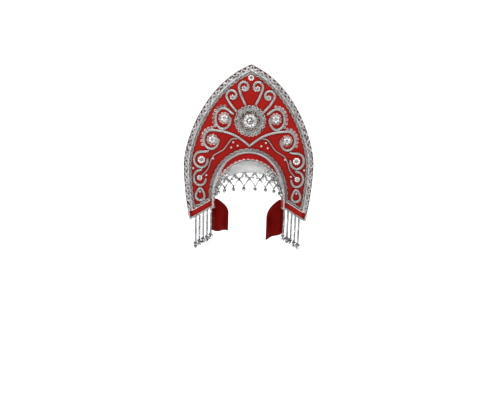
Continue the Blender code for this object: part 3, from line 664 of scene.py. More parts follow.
def makeBeadTree():
    # beads threaded on lines, each turned, sized and toned a little differently
    tree, given = newTree("beads", {
        "Spacing": 0.002,
        "Size": 1.0,
        "Size Change": 0.06,
        "Seed": 1,
        "Bead": "NodeSocketObject",
        "Material": "NodeSocketMaterial",
    })
    line = evenLine(tree, given, given["Spacing"])
    spin = {"Axis": (0, 0, 1), "Angle": randomNumber(tree, 0.0, tau, given["Seed"])}
    spin = put(tree, "FunctionNodeAxisAngleToRotation", spin).outputs[0]
    aim = aimAlong(tree, put(tree, "GeometryNodeInputTangent").outputs[0], spin)
    least = times(given["Size"], minus(1.0, given["Size Change"]))
    most = times(given["Size"], plus(1.0, given["Size Change"]))
    size = randomNumber(tree, 0.0, 1.0, plus(given["Seed"], 7.0))
    size = timesPlus(minus(most, least), size, least)
    return setEach(tree, given, line, "Bead", aim, size, 13.0)


def makeRingTree():
    # small sewn rings, one at each point, lying on the board
    tree, given = newTree("rings", {
        "Size": 0.003,
        "Size Change": 0.05,
        "Tilt": 0.12,
        "Seed": 1,
        "Ring": "NodeSocketObject",
        "Material": "NodeSocketMaterial",
    })
    reaches = (given["Tilt"], 0.0), (given["Tilt"], 3.0)
    angles = [randomNumber(tree, times(reach, -1.0), reach, plus(given["Seed"], k)) for reach, k in reaches]
    angles.append(randomNumber(tree, -pi, pi, plus(given["Seed"], 6.0)))
    turn = put(tree, "ShaderNodeCombineXYZ", dict(enumerate(angles))).outputs[0]
    aim = aimAlong(tree, readUp(tree), put(tree, "FunctionNodeEulerToRotation", {"Euler": turn}).outputs[0])
    share = randomNumber(tree, -1.0, 1.0, plus(given["Seed"], 11.0))
    size = times(given["Size"], timesPlus(share, given["Size Change"], 1.0))
    return setEach(tree, given, given["Geometry"], "Ring", aim, size, 17.0)


braidTree, foldedTree = makeBraidTree(False), makeBraidTree(True)
beadTree, ringTree = makeBeadTree(), makeRingTree()


def placesObject(name, placed, edges=()):
    # points for a node tree to work on; each is a (place, up) pair
    mesh = bpy.data.meshes.new(name)
    mesh.from_pydata([place for place, up in placed], edges, [])
    ups = [c for place, up in placed for c in up]
    mesh.attributes.new("up", "FLOAT_VECTOR", "POINT").data.foreach_set("vector", ups)
    return newObject(name, mesh)


def routeObject(name, lines, closed=False):
    # lines for a node tree to follow; each is a list of (place, up) pairs
    edges, first = [], 0
    for line in lines:
        last = first + len(line) - 1
        edges += [(i, i + 1) for i in range(first, last)]
        if closed:
            edges.append((last, first))
        first = last + 1
    return placesObject(name, [pair for line in lines for pair in line], edges)


def grow(tree, route, finishName, **values):
    # runs a node tree on a route, and makes what it gives the route's own mesh
    # names of values are the tree's inputs without their spaces
    values["material"] = finishes[finishName]
    built = route.modifiers.new("build", "NODES")
    built.node_group = tree
    for socket in tree.interface.items_tree:
        label = socket.name.replace(" ", "")
        label = label[0].lower() + label[1:]
        if socket.in_out == "INPUT" and label in values:
            built[socket.identifier] = values[label]
    made = bpy.data.meshes.new_from_object(route.evaluated_get(bpy.context.evaluated_depsgraph_get()))
    route.modifiers.clear()
    route.data = made
    return route


def joinPieces(name, parts):
    with bpy.context.temp_override(active_object=parts[0], selected_editable_objects=parts):
        bpy.ops.object.join()
    parts[0].name = name
    return parts[0]


def finish(piece, slot, *nodes):
    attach(piece, "root")
    if nodes:
        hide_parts(*nodes)
    return piece


def onBoard(line, depth=0.0):
    return [(boardPoint(p.x, p.y, depth), boardNormal(p.x)) for p in line]


def evenPitch(line, pitch, closed=False):
    # the pitch nearest to the wanted one that fits the line a whole number of times
    places = [place for place, up in line]
    length = lineLength(places + places[:1] if closed else places)
    return length / max(1, round(length / pitch))


plainThread = {"step": 0.0008, "strands": 1, "swing": 0.0, "liftSwing": 0.0, "sides": 5}
laidPlies = {"strands": 2, "threads": 1, "liftRate": 1.0, "liftPhase": pi / 2, "sides": 6}


def braid(name, lines, finishName, closed=False, tree=braidTree, **values):
    return grow(tree, routeObject(name, lines, closed), finishName, **values)


def twist(name, line, finishName, pitch, closed=False, **values):
    # plies laid round each other
    values = {**laidPlies, "pitch": evenPitch(line, pitch, closed), **values}
    return braid(name, [line], finishName, closed, **values)


def meshPiece(name, mesh, finishName, smooth=True):
    data = bpy.data.meshes.new(name)
    mesh.to_mesh(data)
    mesh.free()
    data.materials.append(finishes[finishName])
    if smooth:
        data.shade_smooth()
    return newObject(name, data)


def mould(name, mesh, finishName, smooth=True):
    # a shape for the node trees to set on many places, taken away at the end
    piece = meshPiece(name, mesh, finishName, smooth)
    piece.hide_render = True
    return piece


def lathe(profile, sides):
    # a turned form from (radius, height) steps, with closed ends
    mesh = bmesh.new()
    rings = []
    for radius, height in profile:
        turns = [tau * k / sides for k in range(sides)] if radius else [0.0]
        rings.append([mesh.verts.new((radius * cos(turn), radius * sin(turn), height)) for turn in turns])
    for one, two in zip(rings, rings[1:]):
        for k in range(sides):
            after = (k + 1) % sides
            corners = [one[k % len(one)], one[after % len(one)], two[after % len(two)], two[k % len(two)]]
            mesh.faces.new(list(dict.fromkeys(corners)))
    bmesh.ops.recalc_face_normals(mesh, faces=mesh.faces)
    return mesh


def ballProfile(radius, height, steps):
    turns = [pi * i / steps for i in range(1, steps)]
    return [(0, -height), *((radius * sin(turn), -height * cos(turn)) for turn in turns), (0, height)]


def twoSkins(mesh, front, back):
    # faces of two grids of corners, one behind the other, and of the rim between them
    rows, columns = len(front) - 1, len(front[0]) - 1
    for i in range(rows):
        for k in range(columns):
            mesh.faces.new((front[i][k], front[i + 1][k], front[i + 1][k + 1], front[i][k + 1]))
            mesh.faces.new((back[i][k + 1], back[i + 1][k + 1], back[i + 1][k], back[i][k]))
        mesh.faces.new((front[i][0], back[i][0], back[i + 1][0], front[i + 1][0]))
        mesh.faces.new((front[i + 1][-1], back[i + 1][-1], back[i][-1], front[i][-1]))
    for k in range(columns):
        mesh.faces.new((front[0][k], front[0][k + 1], back[0][k + 1], back[0][k]))
        mesh.faces.new((front[-1][k + 1], front[-1][k], back[-1][k], back[-1][k + 1]))
    bmesh.ops.recalc_face_normals(mesh, faces=mesh.faces)


def setFacets(data, tones):
    data.attributes.new("facet", "FLOAT", "FACE").data.foreach_set("value", tones)


seedMould = mould("seedMould", lathe(ballProfile(1.0, 0.82, 5), 7), "seedGlass")

print("braids")
edgeBraid = {
    "inset": 0.0020,
    "halfWidth": 0.0134,
    "bump": 0.0118,
    "foldRadius": face + 0.0012,
    "plait": {"step": 0.0013, "strands": 5, "threads": 3, "threadSpacing": 0.00130, "radius": 0.00074,
              "sides": 5, "liftSwing": 0.0004, "liftRate": 4.0},
    "twistPitch": 0.0062,
    "twist": {"step": 0.0012, "swing": 0.0011, "liftSwing": 0.0003, "radius": 0.00078, "sides": 5},
}
archBraid = {
    "bump": 0.0042,
    "plait": {"step": 0.0008, "strands": 3, "threads": 1, "radius": 0.00066, "sides": 6, "height": 0.0009,
              "liftSwing": 0.00035, "liftRate": 2.0},
    "beads": {"spacing": 0.0042, "size": 0.00125, "seed": 41},
    "beadInset": 0.0007,
    "beadLift": 0.0019,
    "beadTone": 0.7,
}
gimp = {
    "routeStep": 0.0012,
    "pitch": 0.0118,
    "base": 0.0012,
    "arches": {"threads": 2, "threadSpacing": 0.00125, "radius": 0.00066, "height": 0.0007},
    "twistPitch": 0.0036,
    "twist": {"step": 0.0014, "swing": 0.0005, "liftSwing": 0.0004, "radius": 0.00055, "height": 0.0010},
}
rimCord = {"pitch": 0.0034, "step": 0.00075, "swing": 0.0004, "liftSwing": 0.0004, "radius": 0.00060,
           "height": 0.0009}
lobeEdging = {
    "inset": 0.0010,
    "startIn": 0.0015,
    "routeStep": 0.001,
    "front": {"pitch": 0.0092, "height": 0.0027, "depth": sewnOn + 0.0002},
    "back": {"pitch": 0.00736, "height": 0.0016, "depth": -sewnOn - 0.0010},
    "scallops": {"threads": 2, "threadSpacing": 0.00095, "radius": 0.00050, "height": 0.0005},
    "twistPitch": 0.0036,
    "twist": {"step": 0.0012, "swing": 0.0004, "liftSwing": 0.0004, "radius": 0.0005, "height": 0.0007},
}
archShape = {"steps": 12, "half": 0.47, "round": 0.8}


def walker(points, closed=False):
    # gives the place and left-hand side at any distance along a line on the board
    if closed:
        points = points + points[:1]
    marks = [0.0]
    for a, b in zip(points, points[1:]):
        marks.append(marks[-1] + (b - a).length)

    def at(distance):
        distance = distance % marks[-1] if closed else min(max(distance, 0.0), marks[-1])
        k = min(max(bisect.bisect_right(marks, distance) - 1, 0), len(points) - 2)
        along = (points[k + 1] - points[k]).normalized()
        return points[k] + along * (distance - marks[k]), Vector((-along.y, along.x))

    return at, marks[-1]


def archesAlong(points, pitch, base, height, depth, closed=False):
    # rows of round arches on the left of a line: each is a line of its own
    at, length = walker(points, closed)
    count = max(1, round(length / pitch))
    found = []
    for i in range(count):
        arch = []
        for k in range(archShape["steps"] + 1):
            turn = pi * (1 - k / archShape["steps"])
            place, left = at((i + 0.5 + archShape["half"] * cos(turn)) * length / count)
            arch.append(place + left * (base + height * sin(turn) ** archShape["round"]))
        found.append(onBoard(arch, depth))
    return found


def makeEdgeBraid():
    s, plait = edgeBraid, edgeBraid["plait"]
    half = cutAtLine(insetOutline(s["inset"]), lobeLine(trims["hemSatin"] + 0.001))
    line = onBoard(spaced(whole(half), trims["routeStep"]))
    swing = s["halfWidth"] - plait["threadSpacing"] * (plait["threads"] - 1) / 2 - plait["radius"]
    pitch = evenPitch(line, s["bump"]) * plait["strands"]
    folded = {"tree": foldedTree, "foldRadius": s["foldRadius"]}
    piece = braid("edgeBraid", [line], "braidThread", pitch=pitch, swing=swing, **plait, **folded)
    inner = twist("edgeTwist", line, "braidThread", s["twistPitch"], **s["twist"], **folded)
    finish(joinPieces("edgeBraid", [piece, inner]), "silver_braid", "edge_braid")


def makeArchBraid():
    s, plait, width = archBraid, archBraid["plait"], trims["archBraid"] / 2

    def arch(inset, depth):
        half = cutAtLine(archHalf(inset), lobeLine(trims["hemSatin"]))
        return onBoard(spaced(whole(half), trims["routeStep"]), depth)

    line = arch(width, sewnOn)
    pitch, swing = evenPitch(line, s["bump"]) * plait["strands"], width + 0.0002 - plait["radius"]
    piece = braid("archBraid", [line], "braidThread", pitch=pitch, swing=swing, **plait)
    row = routeObject("archBeads", [arch(width - s["beadInset"], sewnOn + s["beadLift"])])
    sparks = grow(beadTree, row, "petalStone", bead=seedMould, **s["beads"])
    setFacets(sparks.data, [s["beadTone"]] * len(sparks.data.polygons))
    finish(joinPieces("archBraid", [piece, sparks]), "silver_braid", "arch_braid")


def gimpLine():
    # the gimp's closed line: up inside the braids, over, down and round the opening
    width, bow = trims["gimp"] / 2, trims["gimpCorner"]
    low = lobeLine(trims["hemSatin"] + width)
    outer = cutAtLine(insetOutline(trims["edgeBraid"] + trims["rimCord"] + 2 * trims["gap"] + width), low)
    inner = cutAtLine(archHalf(trims["archBraid"] + trims["gap"] + width), low)
    start = outer[0] + (inner[0] - outer[0]).normalized() * bow
    end = outer[0] + (outer[8] - outer[0]).normalized() * bow
    corner = curve((start, outer[0], outer[0], end), 10) + [end]
    side = [p for p in outer if (p - outer[0]).length > bow]
    half = spaced(inner, gimp["routeStep"])[::-1] + spaced([inner[0], corner[0]], gimp["routeStep"])[1:-1]
    half += corner + spaced(side, gimp["routeStep"])[1:]
    return half[:-1] + mirrored(half)[::-1][:-1]


def makeGimp():
    s, arches, width = gimp, gimp["arches"], trims["gimp"]
    base = s["base"] - width / 2
    reach = width - s["base"] - arches["threadSpacing"] * (arches["threads"] - 1) / 2 - arches["radius"]
    lines = archesAlong(gimpLine(), s["pitch"], base, reach, sewnOn, True)
    piece = braid("gimpArches", lines, "gimpThread", **plainThread, **arches)
    line = onBoard(gimpLine(), sewnOn)
    inner = twist("gimpBase", line, "gimpThread", s["twistPitch"], True, sideShift=base, **s["twist"])
    finish(joinPieces("borderGimp", [piece, inner]), "silver_gimp", "border_gimp")


def makeRimCord():
    width, gap, step = trims["rimCord"], trims["gap"], trims["routeStep"]
    low = lobeLine(trims["hemSatin"] - gap - width / 2)
    outer = spaced(cutAtLine(insetOutline(trims["edgeBraid"] + gap + width / 2), low), step)
    corner = cutAtLine(archHalf(trims["archBraid"] + width), low)[0]
    line = onBoard(whole(spaced([corner, outer[0]], step)[:-1] + outer), sewnOn)
    finish(braid("rimCord", [line], "rimThread", **laidPlies, **rimCord), "silver_cord", "rim_cord")


def lobeEdge(inset):
    foot, corner = lobeLine(inset)
    start = corner + (foot - corner).normalized() * lobeEdging["startIn"]
    side = insetOutline(inset)
    upper = cutAtLine(side, lobeLine(trims["hemSatin"] - trims["gap"]))[0]
    lower = cutAtLine(side, (foot, corner))[0]
    between = [p for p in side if lower.y < p.y < upper.y]
    step = lobeEdging["routeStep"]
    return spaced([start, lower], step) + spaced([lower] + between + [upper], step)[1:]


def makeLobeEdging(label, side):
    # little scallops along the lobe's edge, in front and behind
    s = lobeEdging
    edge = lobeEdge(s["inset"])
    edge = mirrored(edge) if side < 0 else edge[::-1]
    parts = []
    for row in (s["front"], s["back"]):
        arches = archesAlong(edge, row["pitch"], 0.0, row["height"], row["depth"])
        parts.append(braid("scallops", arches, "gimpThread", **plainThread, **s["scallops"]))
        line = onBoard(edge, row["depth"])
        parts.append(twist("twist", line, "braidThread", s["twistPitch"], **s["twist"]))
    finish(joinPieces(f"lobeEdging{label}", parts), "silver_braid", f"lobe_edging_{label.lower()}")


makeEdgeBraid()
makeArchBraid()
makeGimp()
makeRimCord()
for label, side in bothSides:
    makeLobeEdging(label, side)

print("scrolls")
scrollCord = {"width": 0.0052, "height": 0.0031, "plies": 3, "lay": 0.0132, "step": 0.0010}
vineCord = {"width": 0.0026, "height": 0.0016, "plies": 2, "lay": 0.0055, "step": 0.0008}
plies = {"radius": 0.39, "groove": 0.23, "taper": 0.0035}
scrolls = {  # start, heading, curl centre, curl radii, entry, sweep, end share
    "topScroll": ((4.9, 115.6), 62, (6.6, 133.0), (5.2, 5.8), -25, 285, 0.66),
    "sideScroll": ((13.0, 108.6), 48, (18.2, 124.6), (5.6, 5.6), -35, 295, 0.66),
    "upperScroll": ((16.2, 106.4), 25, (26.3, 101.5), (7.8, 10.4), 95, -285, 0.92),
    "longScroll": ((0.0, 75.3), 42, (37.4, 80.4), (7.8, 9.8), 95, -285, 0.86),
    "lowerScroll": ((39.8, 69.3), -12, (47.3, 60.4), (6.9, 7.9), 90, -280, 0.94),
    "tailScroll": ((45.9, 50.8), -15, (47.9, 42.2), (6.2, 7.7), 85, -265, 0.94),
}
curlPull = 0.4
picots = {  # rings on the outside of a curl: first and last share of its sweep, and how many
    "upperScroll": (-0.01, 0.46, 8),
    "longScroll": (0.01, 0.42, 7),
}
picotRing = {"size": 0.0031, "out": 0.0022}
sewnRing = {"sides": 16, "around": 6, "tube": 0.29, "flat": 0.8, "wrap": 0.0022}
vineRoute = (
    (12.4, 82.2), (15.0, 82.3), (17.9, 81.4), (21.4, 76.9), (25.2, 71.5),
    (30.5, 68.0), (35.0, 65.0), (38.3, 58.6), (40.6, 51.2), (47.2, 43.4),
)
dropLoop = {"centre": (47.5, 25.7), "halfWidth": 4.0, "halfHeight": 6.0, "point": 0.35}


def curlPlace(name, share):
    start, away, centre, radii, entry, sweep, endShare = scrolls[name]
    turn = radians(entry + sweep * share)
    size = 1 + (endShare - 1) * share
    return Vector((centre[0] + radii[0] * size * cos(turn), centre[1] + radii[1] * size * sin(turn)))


def scrollLine(name, side):
    foot, enter = Vector(scrolls[name][0]), curlPlace(name, 0)
    pull = (enter - foot).length * curlPull
    arriving = (curlPlace(name, 0.01) - enter).normalized()
    tail = [foot, foot + heading(radians(scrolls[name][1])) * pull, enter - arriving * pull, enter]
    return [chart(p, side) for p in curve(tail, 30) + [curlPlace(name, i / 60) for i in range(61)]]


def ringShape():
    # a small thread-wrapped ring, one unit in radius, to be set on many places
    mesh = bmesh.new()
    run, around = mesh.verts.layers.float.new("run"), mesh.verts.layers.float.new("around")
    sides, steps, tube = sewnRing["sides"], sewnRing["around"], sewnRing["tube"]
    rings = []
    for i in range(sides):
        out = heading(tau * i / sides)
        rings.append([])
        for k in range(steps):
            roll = tau * k / steps
            reach = 1 - tube + tube * cos(roll)
            v = mesh.verts.new((reach * out.x, reach * out.y, tube * sewnRing["flat"] * sin(roll)))
            v[run] = sewnRing["wrap"] * tau * min(i, sides - i) * 2 / sides
            v[around] = k / steps
            rings[-1].append(v)
    for one, two in zip(rings, rings[1:] + rings[:1]):
        for k in range(steps):
            mesh.faces.new((one[k], two[k], two[(k + 1) % steps], one[(k + 1) % steps]))
    bmesh.ops.recalc_face_normals(mesh, faces=mesh.faces)
    return mesh


ringMould = mould("ringShape", ringShape(), "gimpThread")


def ringsAt(name, centres, size, seed, finishName="ringThread", depth=sewnOn, tilt=0.12):
    places = onBoard(centres, depth + size * sewnRing["tube"] * sewnRing["flat"])
    values = {"size": size, "seed": seed, "tilt": tilt, "ring": ringMould}
    return grow(ringTree, placesObject(name, places), finishName, **values)


def picotPlaces(name, side):
    first, last, count = picots[name]
    found = []
    for i in range(count):
        share = first + (last - first) * i / (count - 1)
        place, after = chart(curlPlace(name, share), side), chart(curlPlace(name, share + 0.01), side)
        along = (after - place).normalized()
        out = Vector((-along.y, along.x))
        if out.dot(chart(scrolls[name][2], side) - place) > 0:
            out = -out
        found.append(place + out * (scrollCord["width"] / 2 + picotRing["out"]))
    return found


def vineLine(side, perSpan):
    # a smooth line through the places of the vine's route
    points = [chart(place, side) for place in vineRoute]
    padded = [points[0] * 2 - points[1]] + points + [points[-1] * 2 - points[-2]]
    found = []
    for a, b, c, d in zip(padded, padded[1:], padded[2:], padded[3:]):
        for i in range(perSpan):
            x = i / perSpan
            bow = (a * 2 - b * 5 + c * 4 - d) * x**2 + (b * 3 - a - c * 3 + d) * x**3
            found.append((b * 2 + (c - a) * x + bow) / 2)
    return found + [points[-1]]


def ropeOn(name, line, cord, closed=False):
    # a flattened rope of twisted plies, sewn on the board, with a dark thread in its grooves as painted shade
    placed = onBoard(line, sewnOn)
    width, height, count = cord["width"] / 2, cord["height"] / 2, cord["plies"]
    ply = cord["height"] * plies["radius"]
    shared = {"strands": count, "step": cord["step"], "liftSwing": height - ply,
              "taper": 0.0 if closed else plies["taper"]}
    rope = {"swing": width - ply, "radius": ply, "sides": 8, "height": height}
    groove = {"swing": width - ply * 0.8, "radius": cord["height"] * plies["groove"], "sides": 5,
              "height": height + ply * 0.55, "turn": 0.5 / count}
    return joinPieces(name, [
        twist(name, placed, "cordThread", cord["lay"], closed, **shared, **rope),
        twist("grooves", placed, "darkThread", cord["lay"], closed, **shared, **groove),
    ])


def makeScroll(name, label, line, places, seed):
    parts = [ropeOn(name + label, spaced(line, scrollCord["step"]), scrollCord)]
    if places:
        parts.append(ringsAt("picots", places, picotRing["size"], seed))
    node = name.replace("Scroll", "_scroll") + ("_" + label.lower() if label else "")
    finish(joinPieces(name + label, parts), "silver_cord", node)


def makeScrolls():
    seed = 30
    for name in scrolls:
        if name == "longScroll":
            places = picotPlaces(name, -1) + picotPlaces(name, 1)
            makeScroll(name, "", whole(scrollLine(name, 1)[::-1]), places, seed)
            continue
        for label, side in bothSides:
            seed += 1
            places = picotPlaces(name, side) if name in picots else []
            makeScroll(name, label, scrollLine(name, side), places, seed)


def dropLoopLine(side, count, start, point):
    found = []
    for i in range(count):
        turn = tau * (i + start) / count
        across = dropLoop["halfWidth"] * sin(turn) * (1 - point * cos(turn))
        place = Vector(dropLoop["centre"]) + Vector((across, dropLoop["halfHeight"] * cos(turn)))
        found.append(chart(place, side))
    return found


makeScrolls()
for label, side in bothSides:
    rope = ropeOn("dropLoop" + label, dropLoopLine(side, 72, 0.5, dropLoop["point"]), scrollCord, True)
    finish(rope, "silver_cord", f"drop_loop_{label.lower()}")
    rope = ropeOn("vine" + label, spaced(vineLine(side, 16), scrollCord["step"]), vineCord)
    finish(rope, "silver_cord", f"vine_{label.lower()}")

print("board covering")
covering = {
    "columns": 420,
    "rows": 64,
    "puff": 0.0007,
    "reach": 0.0045,
    # painted shade: the satin is painted darker beside what is sewn on it and along the rim under the edge
    # braid
    "shade": 0.80,  # how dark the satin is beside what is sewn on it, and how far that goes
    "shadeReach": 0.0036,
    "rimShade": 0.88,
    "rimWidth": 0.0098,
    "medallion": (0, 100),
    "medallionRings": (0.010, 0.020, 0.030),
    "archSewn": 0.003,
    "rimSewn": 0.006,
    "stitchOverlap": 0.15,
    "stitchRows": ((insetOutline(0.0165), 150), (archHalf(0.0075), 84)),  # lines on the back, and how many
    "stitchRadius": 0.00035,
}


def stitchedPlaces():
    # places on the board where something is sewn down, for the satin to pull in and to take painted shade
    # beside them
    found = gimpLine()
    for label, side in bothSides:
        for name in scrolls:
            found += scrollLine(name, side)
        found += vineLine(side, 10) + dropLoopLine(side, 24, 0, 0)
    centre = chart(covering["medallion"])
    for ring in covering["medallionRings"]:
        found += [centre + heading(i / 6) * ring for i in range(38)]
    return found + whole(archHalf(covering["archSewn"])) + whole(insetOutline(covering["rimSewn"]))


def distanceTo(points):
    tree = kdtree.KDTree(len(points))
    for i, p in enumerate(points):
        tree.insert((p.x, p.y, 0), i)
    tree.balance()
    return lambda p: tree.find((p.x, p.y, 0))[2]


def makeStitches():
    lines = []
    for edge, amount in covering["stitchRows"]:
        path = evenly(whole([p for p in edge if p.y > board["lobeStep"] * 0.6]), amount * 2)
        for a, b in zip(path[::2], path[1::2]):
            start, end = a.lerp(b, -covering["stitchOverlap"]), a.lerp(b, 1 + covering["stitchOverlap"])
            lines.append(onBoard([start, start.lerp(end, 0.5), end], -face - 0.0001))
    return braid("stitches", lines, "stitchThread", threads=1, radius=covering["stitchRadius"], **plainThread)


def makeCovering():
    # satin over the board: it swells a little between what is sewn on, and is plain behind; painted shade
    # darkens it beside what is sewn on and along the rim under the edge braid, front and back
    c = covering
    toSewn = distanceTo(stitchedPlaces())
    toRim = distanceTo([p for p in whole(outlineHalf()) if p.y > board["lobeStep"]])
    inner, outer = evenly(whole(archHalf()), c["columns"] + 1), evenly(whole(outlineHalf()), c["columns"] + 1)
    mesh = bmesh.new()
    pressed = mesh.verts.layers.float.new("pressed")
    front, back = [], []
    for a, b in zip(inner, outer):
        front.append([])
        back.append([])
        for k in range(c["rows"] + 1):
            p = a.lerp(b, k / c["rows"])
            gap = toSewn(p)
            rise = c["puff"] * (1 - exp(-(gap / c["reach"]) ** 2))
            # painted shade: darker along the rim under the edge braid, front and back, and beside what is
            # sewn on
            underBraidShade = c["rimShade"] if toRim(p) < c["rimWidth"] else 0.0
            front[-1].append(mesh.verts.new(boardPoint(p.x, p.y, face + rise)))
            front[-1][-1][pressed] = max(underBraidShade, c["shade"] * exp(-(gap / c["shadeReach"]) ** 2))
            back[-1].append(mesh.verts.new(boardPoint(p.x, p.y, -face)))
        back[-1][-1][pressed] = underBraidShade
    twoSkins(mesh, front, back)
    piece = meshPiece("boardCovering", mesh, "boardSatin")
    piece.data.set_sharp_from_angle(angle=radians(50))
    piece.data.materials.append(finishes["liningSatin"])
    for polygon in piece.data.polygons:
        if polygon.normal.y > 0.5:
            polygon.material_index = 1
    finish(joinPieces("boardCovering", [piece, makeStitches()]), "red_satin", "crest")


makeCovering()

print("headband")
band = {
    "width": 0.030,
    "behind": 0.006,
    "thickness": 0.0024,
    "topSlope": radians(24),
    "sideSlope": radians(3),
    "folds": 3,
    "foldHeight": 0.0020,
    "foldSteps": 36,
    "foldShade": 0.9,
    "ripple": 0.00010,
    "waves": ((0.5, 1.0), (18, 60), (0, 6), (2, 9)),  # strength, rate along, start, rate across
    "clear": 0.0018,  # between the board and the first fold
    "backRound": 0.0002,
    "stations": 200,
}
bandEdging = {
    "wavePitch": 0.0092,
    "wave": {"step": 0.0008, "strands": 1, "threads": 2, "threadSpacing": 0.0010, "swing": 0.0017,
             "liftSwing": 0.0002, "radius": 0.00052, "sides": 6, "height": 0.0006},
    "twistPitch": 0.0036,
    "twist": {"step": 0.0011, "swing": 0.0004, "liftSwing": 0.0003, "radius": 0.00045, "sideShift": -0.0008,
              "height": 0.0002},
    "laceRows": (0.16, 0.37, 0.58, 0.79, 0.97),
    "laceShare": 0.29,
    "laceLong": 1.16,
    "laceShorter": 0.42,
    "laceLift": 0.0006,
    "lace": {"step": 0.0008, "strands": 2, "threads": 1, "pitch": 0.0124, "swing": 0.0021,
             "liftSwing": 0.0003, "radius": 0.00070, "sides": 5, "height": 0.0004},
}
bandFront = band["width"] - band["behind"]


def bandPoint(place, out, turn, forward, rise):
    slope = band["sideSlope"] + (band["topSlope"] - band["sideSlope"]) * max(0.0, sin(turn))
    spot = place - out * (trims["gap"] + max(0.0, forward) * tan(slope) - rise)
    return boardPoint(spot.x, spot.y, forward)


def bandStations():
    # places round the opening, with the way out and the turn at each
    line = evenly(whole(archHalf()), band["stations"])
    found = []
    for i, place in enumerate(line):
        along = line[min(i + 1, len(line) - 1)] - line[max(i - 1, 0)]
        above = place.y - board["archSpring"]
        turn = atan2(above / board["archRise"], place.x / archHalfWidth) if above > 0 else 0.0
        found.append((place, Vector((-along.y, along.x)).normalized(), turn))
    return found


def makeHeadband():
    # satin laid in soft folds along the band, the fold valleys painted darker as painted shade; the part
    # inside the opening is smooth
    behind, low, steps = band["behind"], -band["thickness"], band["foldSteps"]
    clear = face + trims["gap"] + band["clear"]
    luck = random.Random(4)
    waves = [[luck.uniform(*span) for span in band["waves"]] for _ in range(6)]

    def rise(share, along):
        fold = -band["foldHeight"] * (1 - abs(cos(pi * band["folds"] * share)) ** 0.7)
        ripple = sum(a * sin(b * along + c + d * share) for a, b, c, d in waves)
        return fold + band["ripple"] * ripple * sin(pi * share)

    mesh = bmesh.new()
    pressed = mesh.verts.layers.float.new("pressed")
    loops = []
    for i, station in enumerate(bandStations()):
        along = i / band["stations"]
        ring = [(-behind, low), (-behind - band["backRound"], low / 2), (-behind, 0.0), (clear, 0.0)]
        for k in range(1, steps + 1):
            ring.append((clear + (bandFront - clear) * k / steps, rise(k / steps, along)))
        ring += [(bandFront, low), (clear * 3, low), (clear, low)]
        loop = [mesh.verts.new(bandPoint(*station, forward, height)) for forward, height in ring]
        # painted shade, deeper in the fold valleys
        for k in range(1, steps + 1):
            deep = min(1.0, -rise(k / steps, 0) / band["foldHeight"] * 1.1)
            loop[3 + k][pressed] = band["foldShade"] * deep ** 3
        loops.append(loop)
    for one, two in zip(loops, loops[1:]):
        for k in range(len(one)):
            after = (k + 1) % len(one)
            mesh.faces.new((one[k], one[after], two[after], two[k]))
    mesh.faces.new(loops[0][::-1])
    mesh.faces.new(loops[-1])
    bmesh.ops.recalc_face_normals(mesh, faces=mesh.faces)
    piece = meshPiece("headbandSatin", mesh, "bandSatin")
    piece.data.set_sharp_from_angle(angle=radians(60))
    finish(piece, "red_satin", "headband")


def laceLines():
    # zigzag rows on the sides of the band, shorter towards its front, and one on each end
    stations = bandStations()
    half = len(stations) // 2
    reach = round(len(stations) * bandEdging["laceShare"])
    lines = []
    for first in (True, False):
        for share in bandEdging["laceRows"]:
            amount = round(reach * (bandEdging["laceLong"] - bandEdging["laceShorter"] * share))
            row = []
            for station in (stations[:half][:amount] if first else stations[half:][-amount:]):
                corner = bandPoint(*station, bandFront * share, 0.0)
                up = (bandPoint(*station, bandFront * share, 0.01) - corner).normalized()
                row.append((corner + up * bandEdging["laceLift"], up))
            lines.append(row)
    for station in (stations[0], stations[-1]):
        across = [bandPoint(*station, bandFront * x / 12, -band["thickness"] / 2) for x in range(2, 13)]
        lines.append([(p - Vector((0, 0, 0.0002)), Vector((0, 0, -1))) for p in across])
    return lines


def makeBandEdging():
    # a wavy braid over the band's front rim, and lace on its sides
    s = bandEdging
    line = []
    for station in bandStations():
        corner = bandPoint(*station, bandFront, 0.0)
        outside = (bandPoint(*station, bandFront, 0.01) - corner).normalized()
        ahead = (bandPoint(*station, bandFront + 0.01, 0.0) - corner).normalized()
        up = (outside * 0.55 + ahead).normalized()
        line.append((corner - outside * 0.0005 + up * 0.0002, up))
    finish(joinPieces("bandEdging", [
        braid("bandWave", [line], "rimThread", pitch=evenPitch(line, s["wavePitch"]), **s["wave"]),
        twist("bandTwist", line, "gimpThread", s["twistPitch"], **s["twist"]),
        braid("sideLace", laceLines(), "braidThread", **s["lace"]),
    ]), "silver_braid", "band_edging")


makeHeadband()
makeBandEdging()

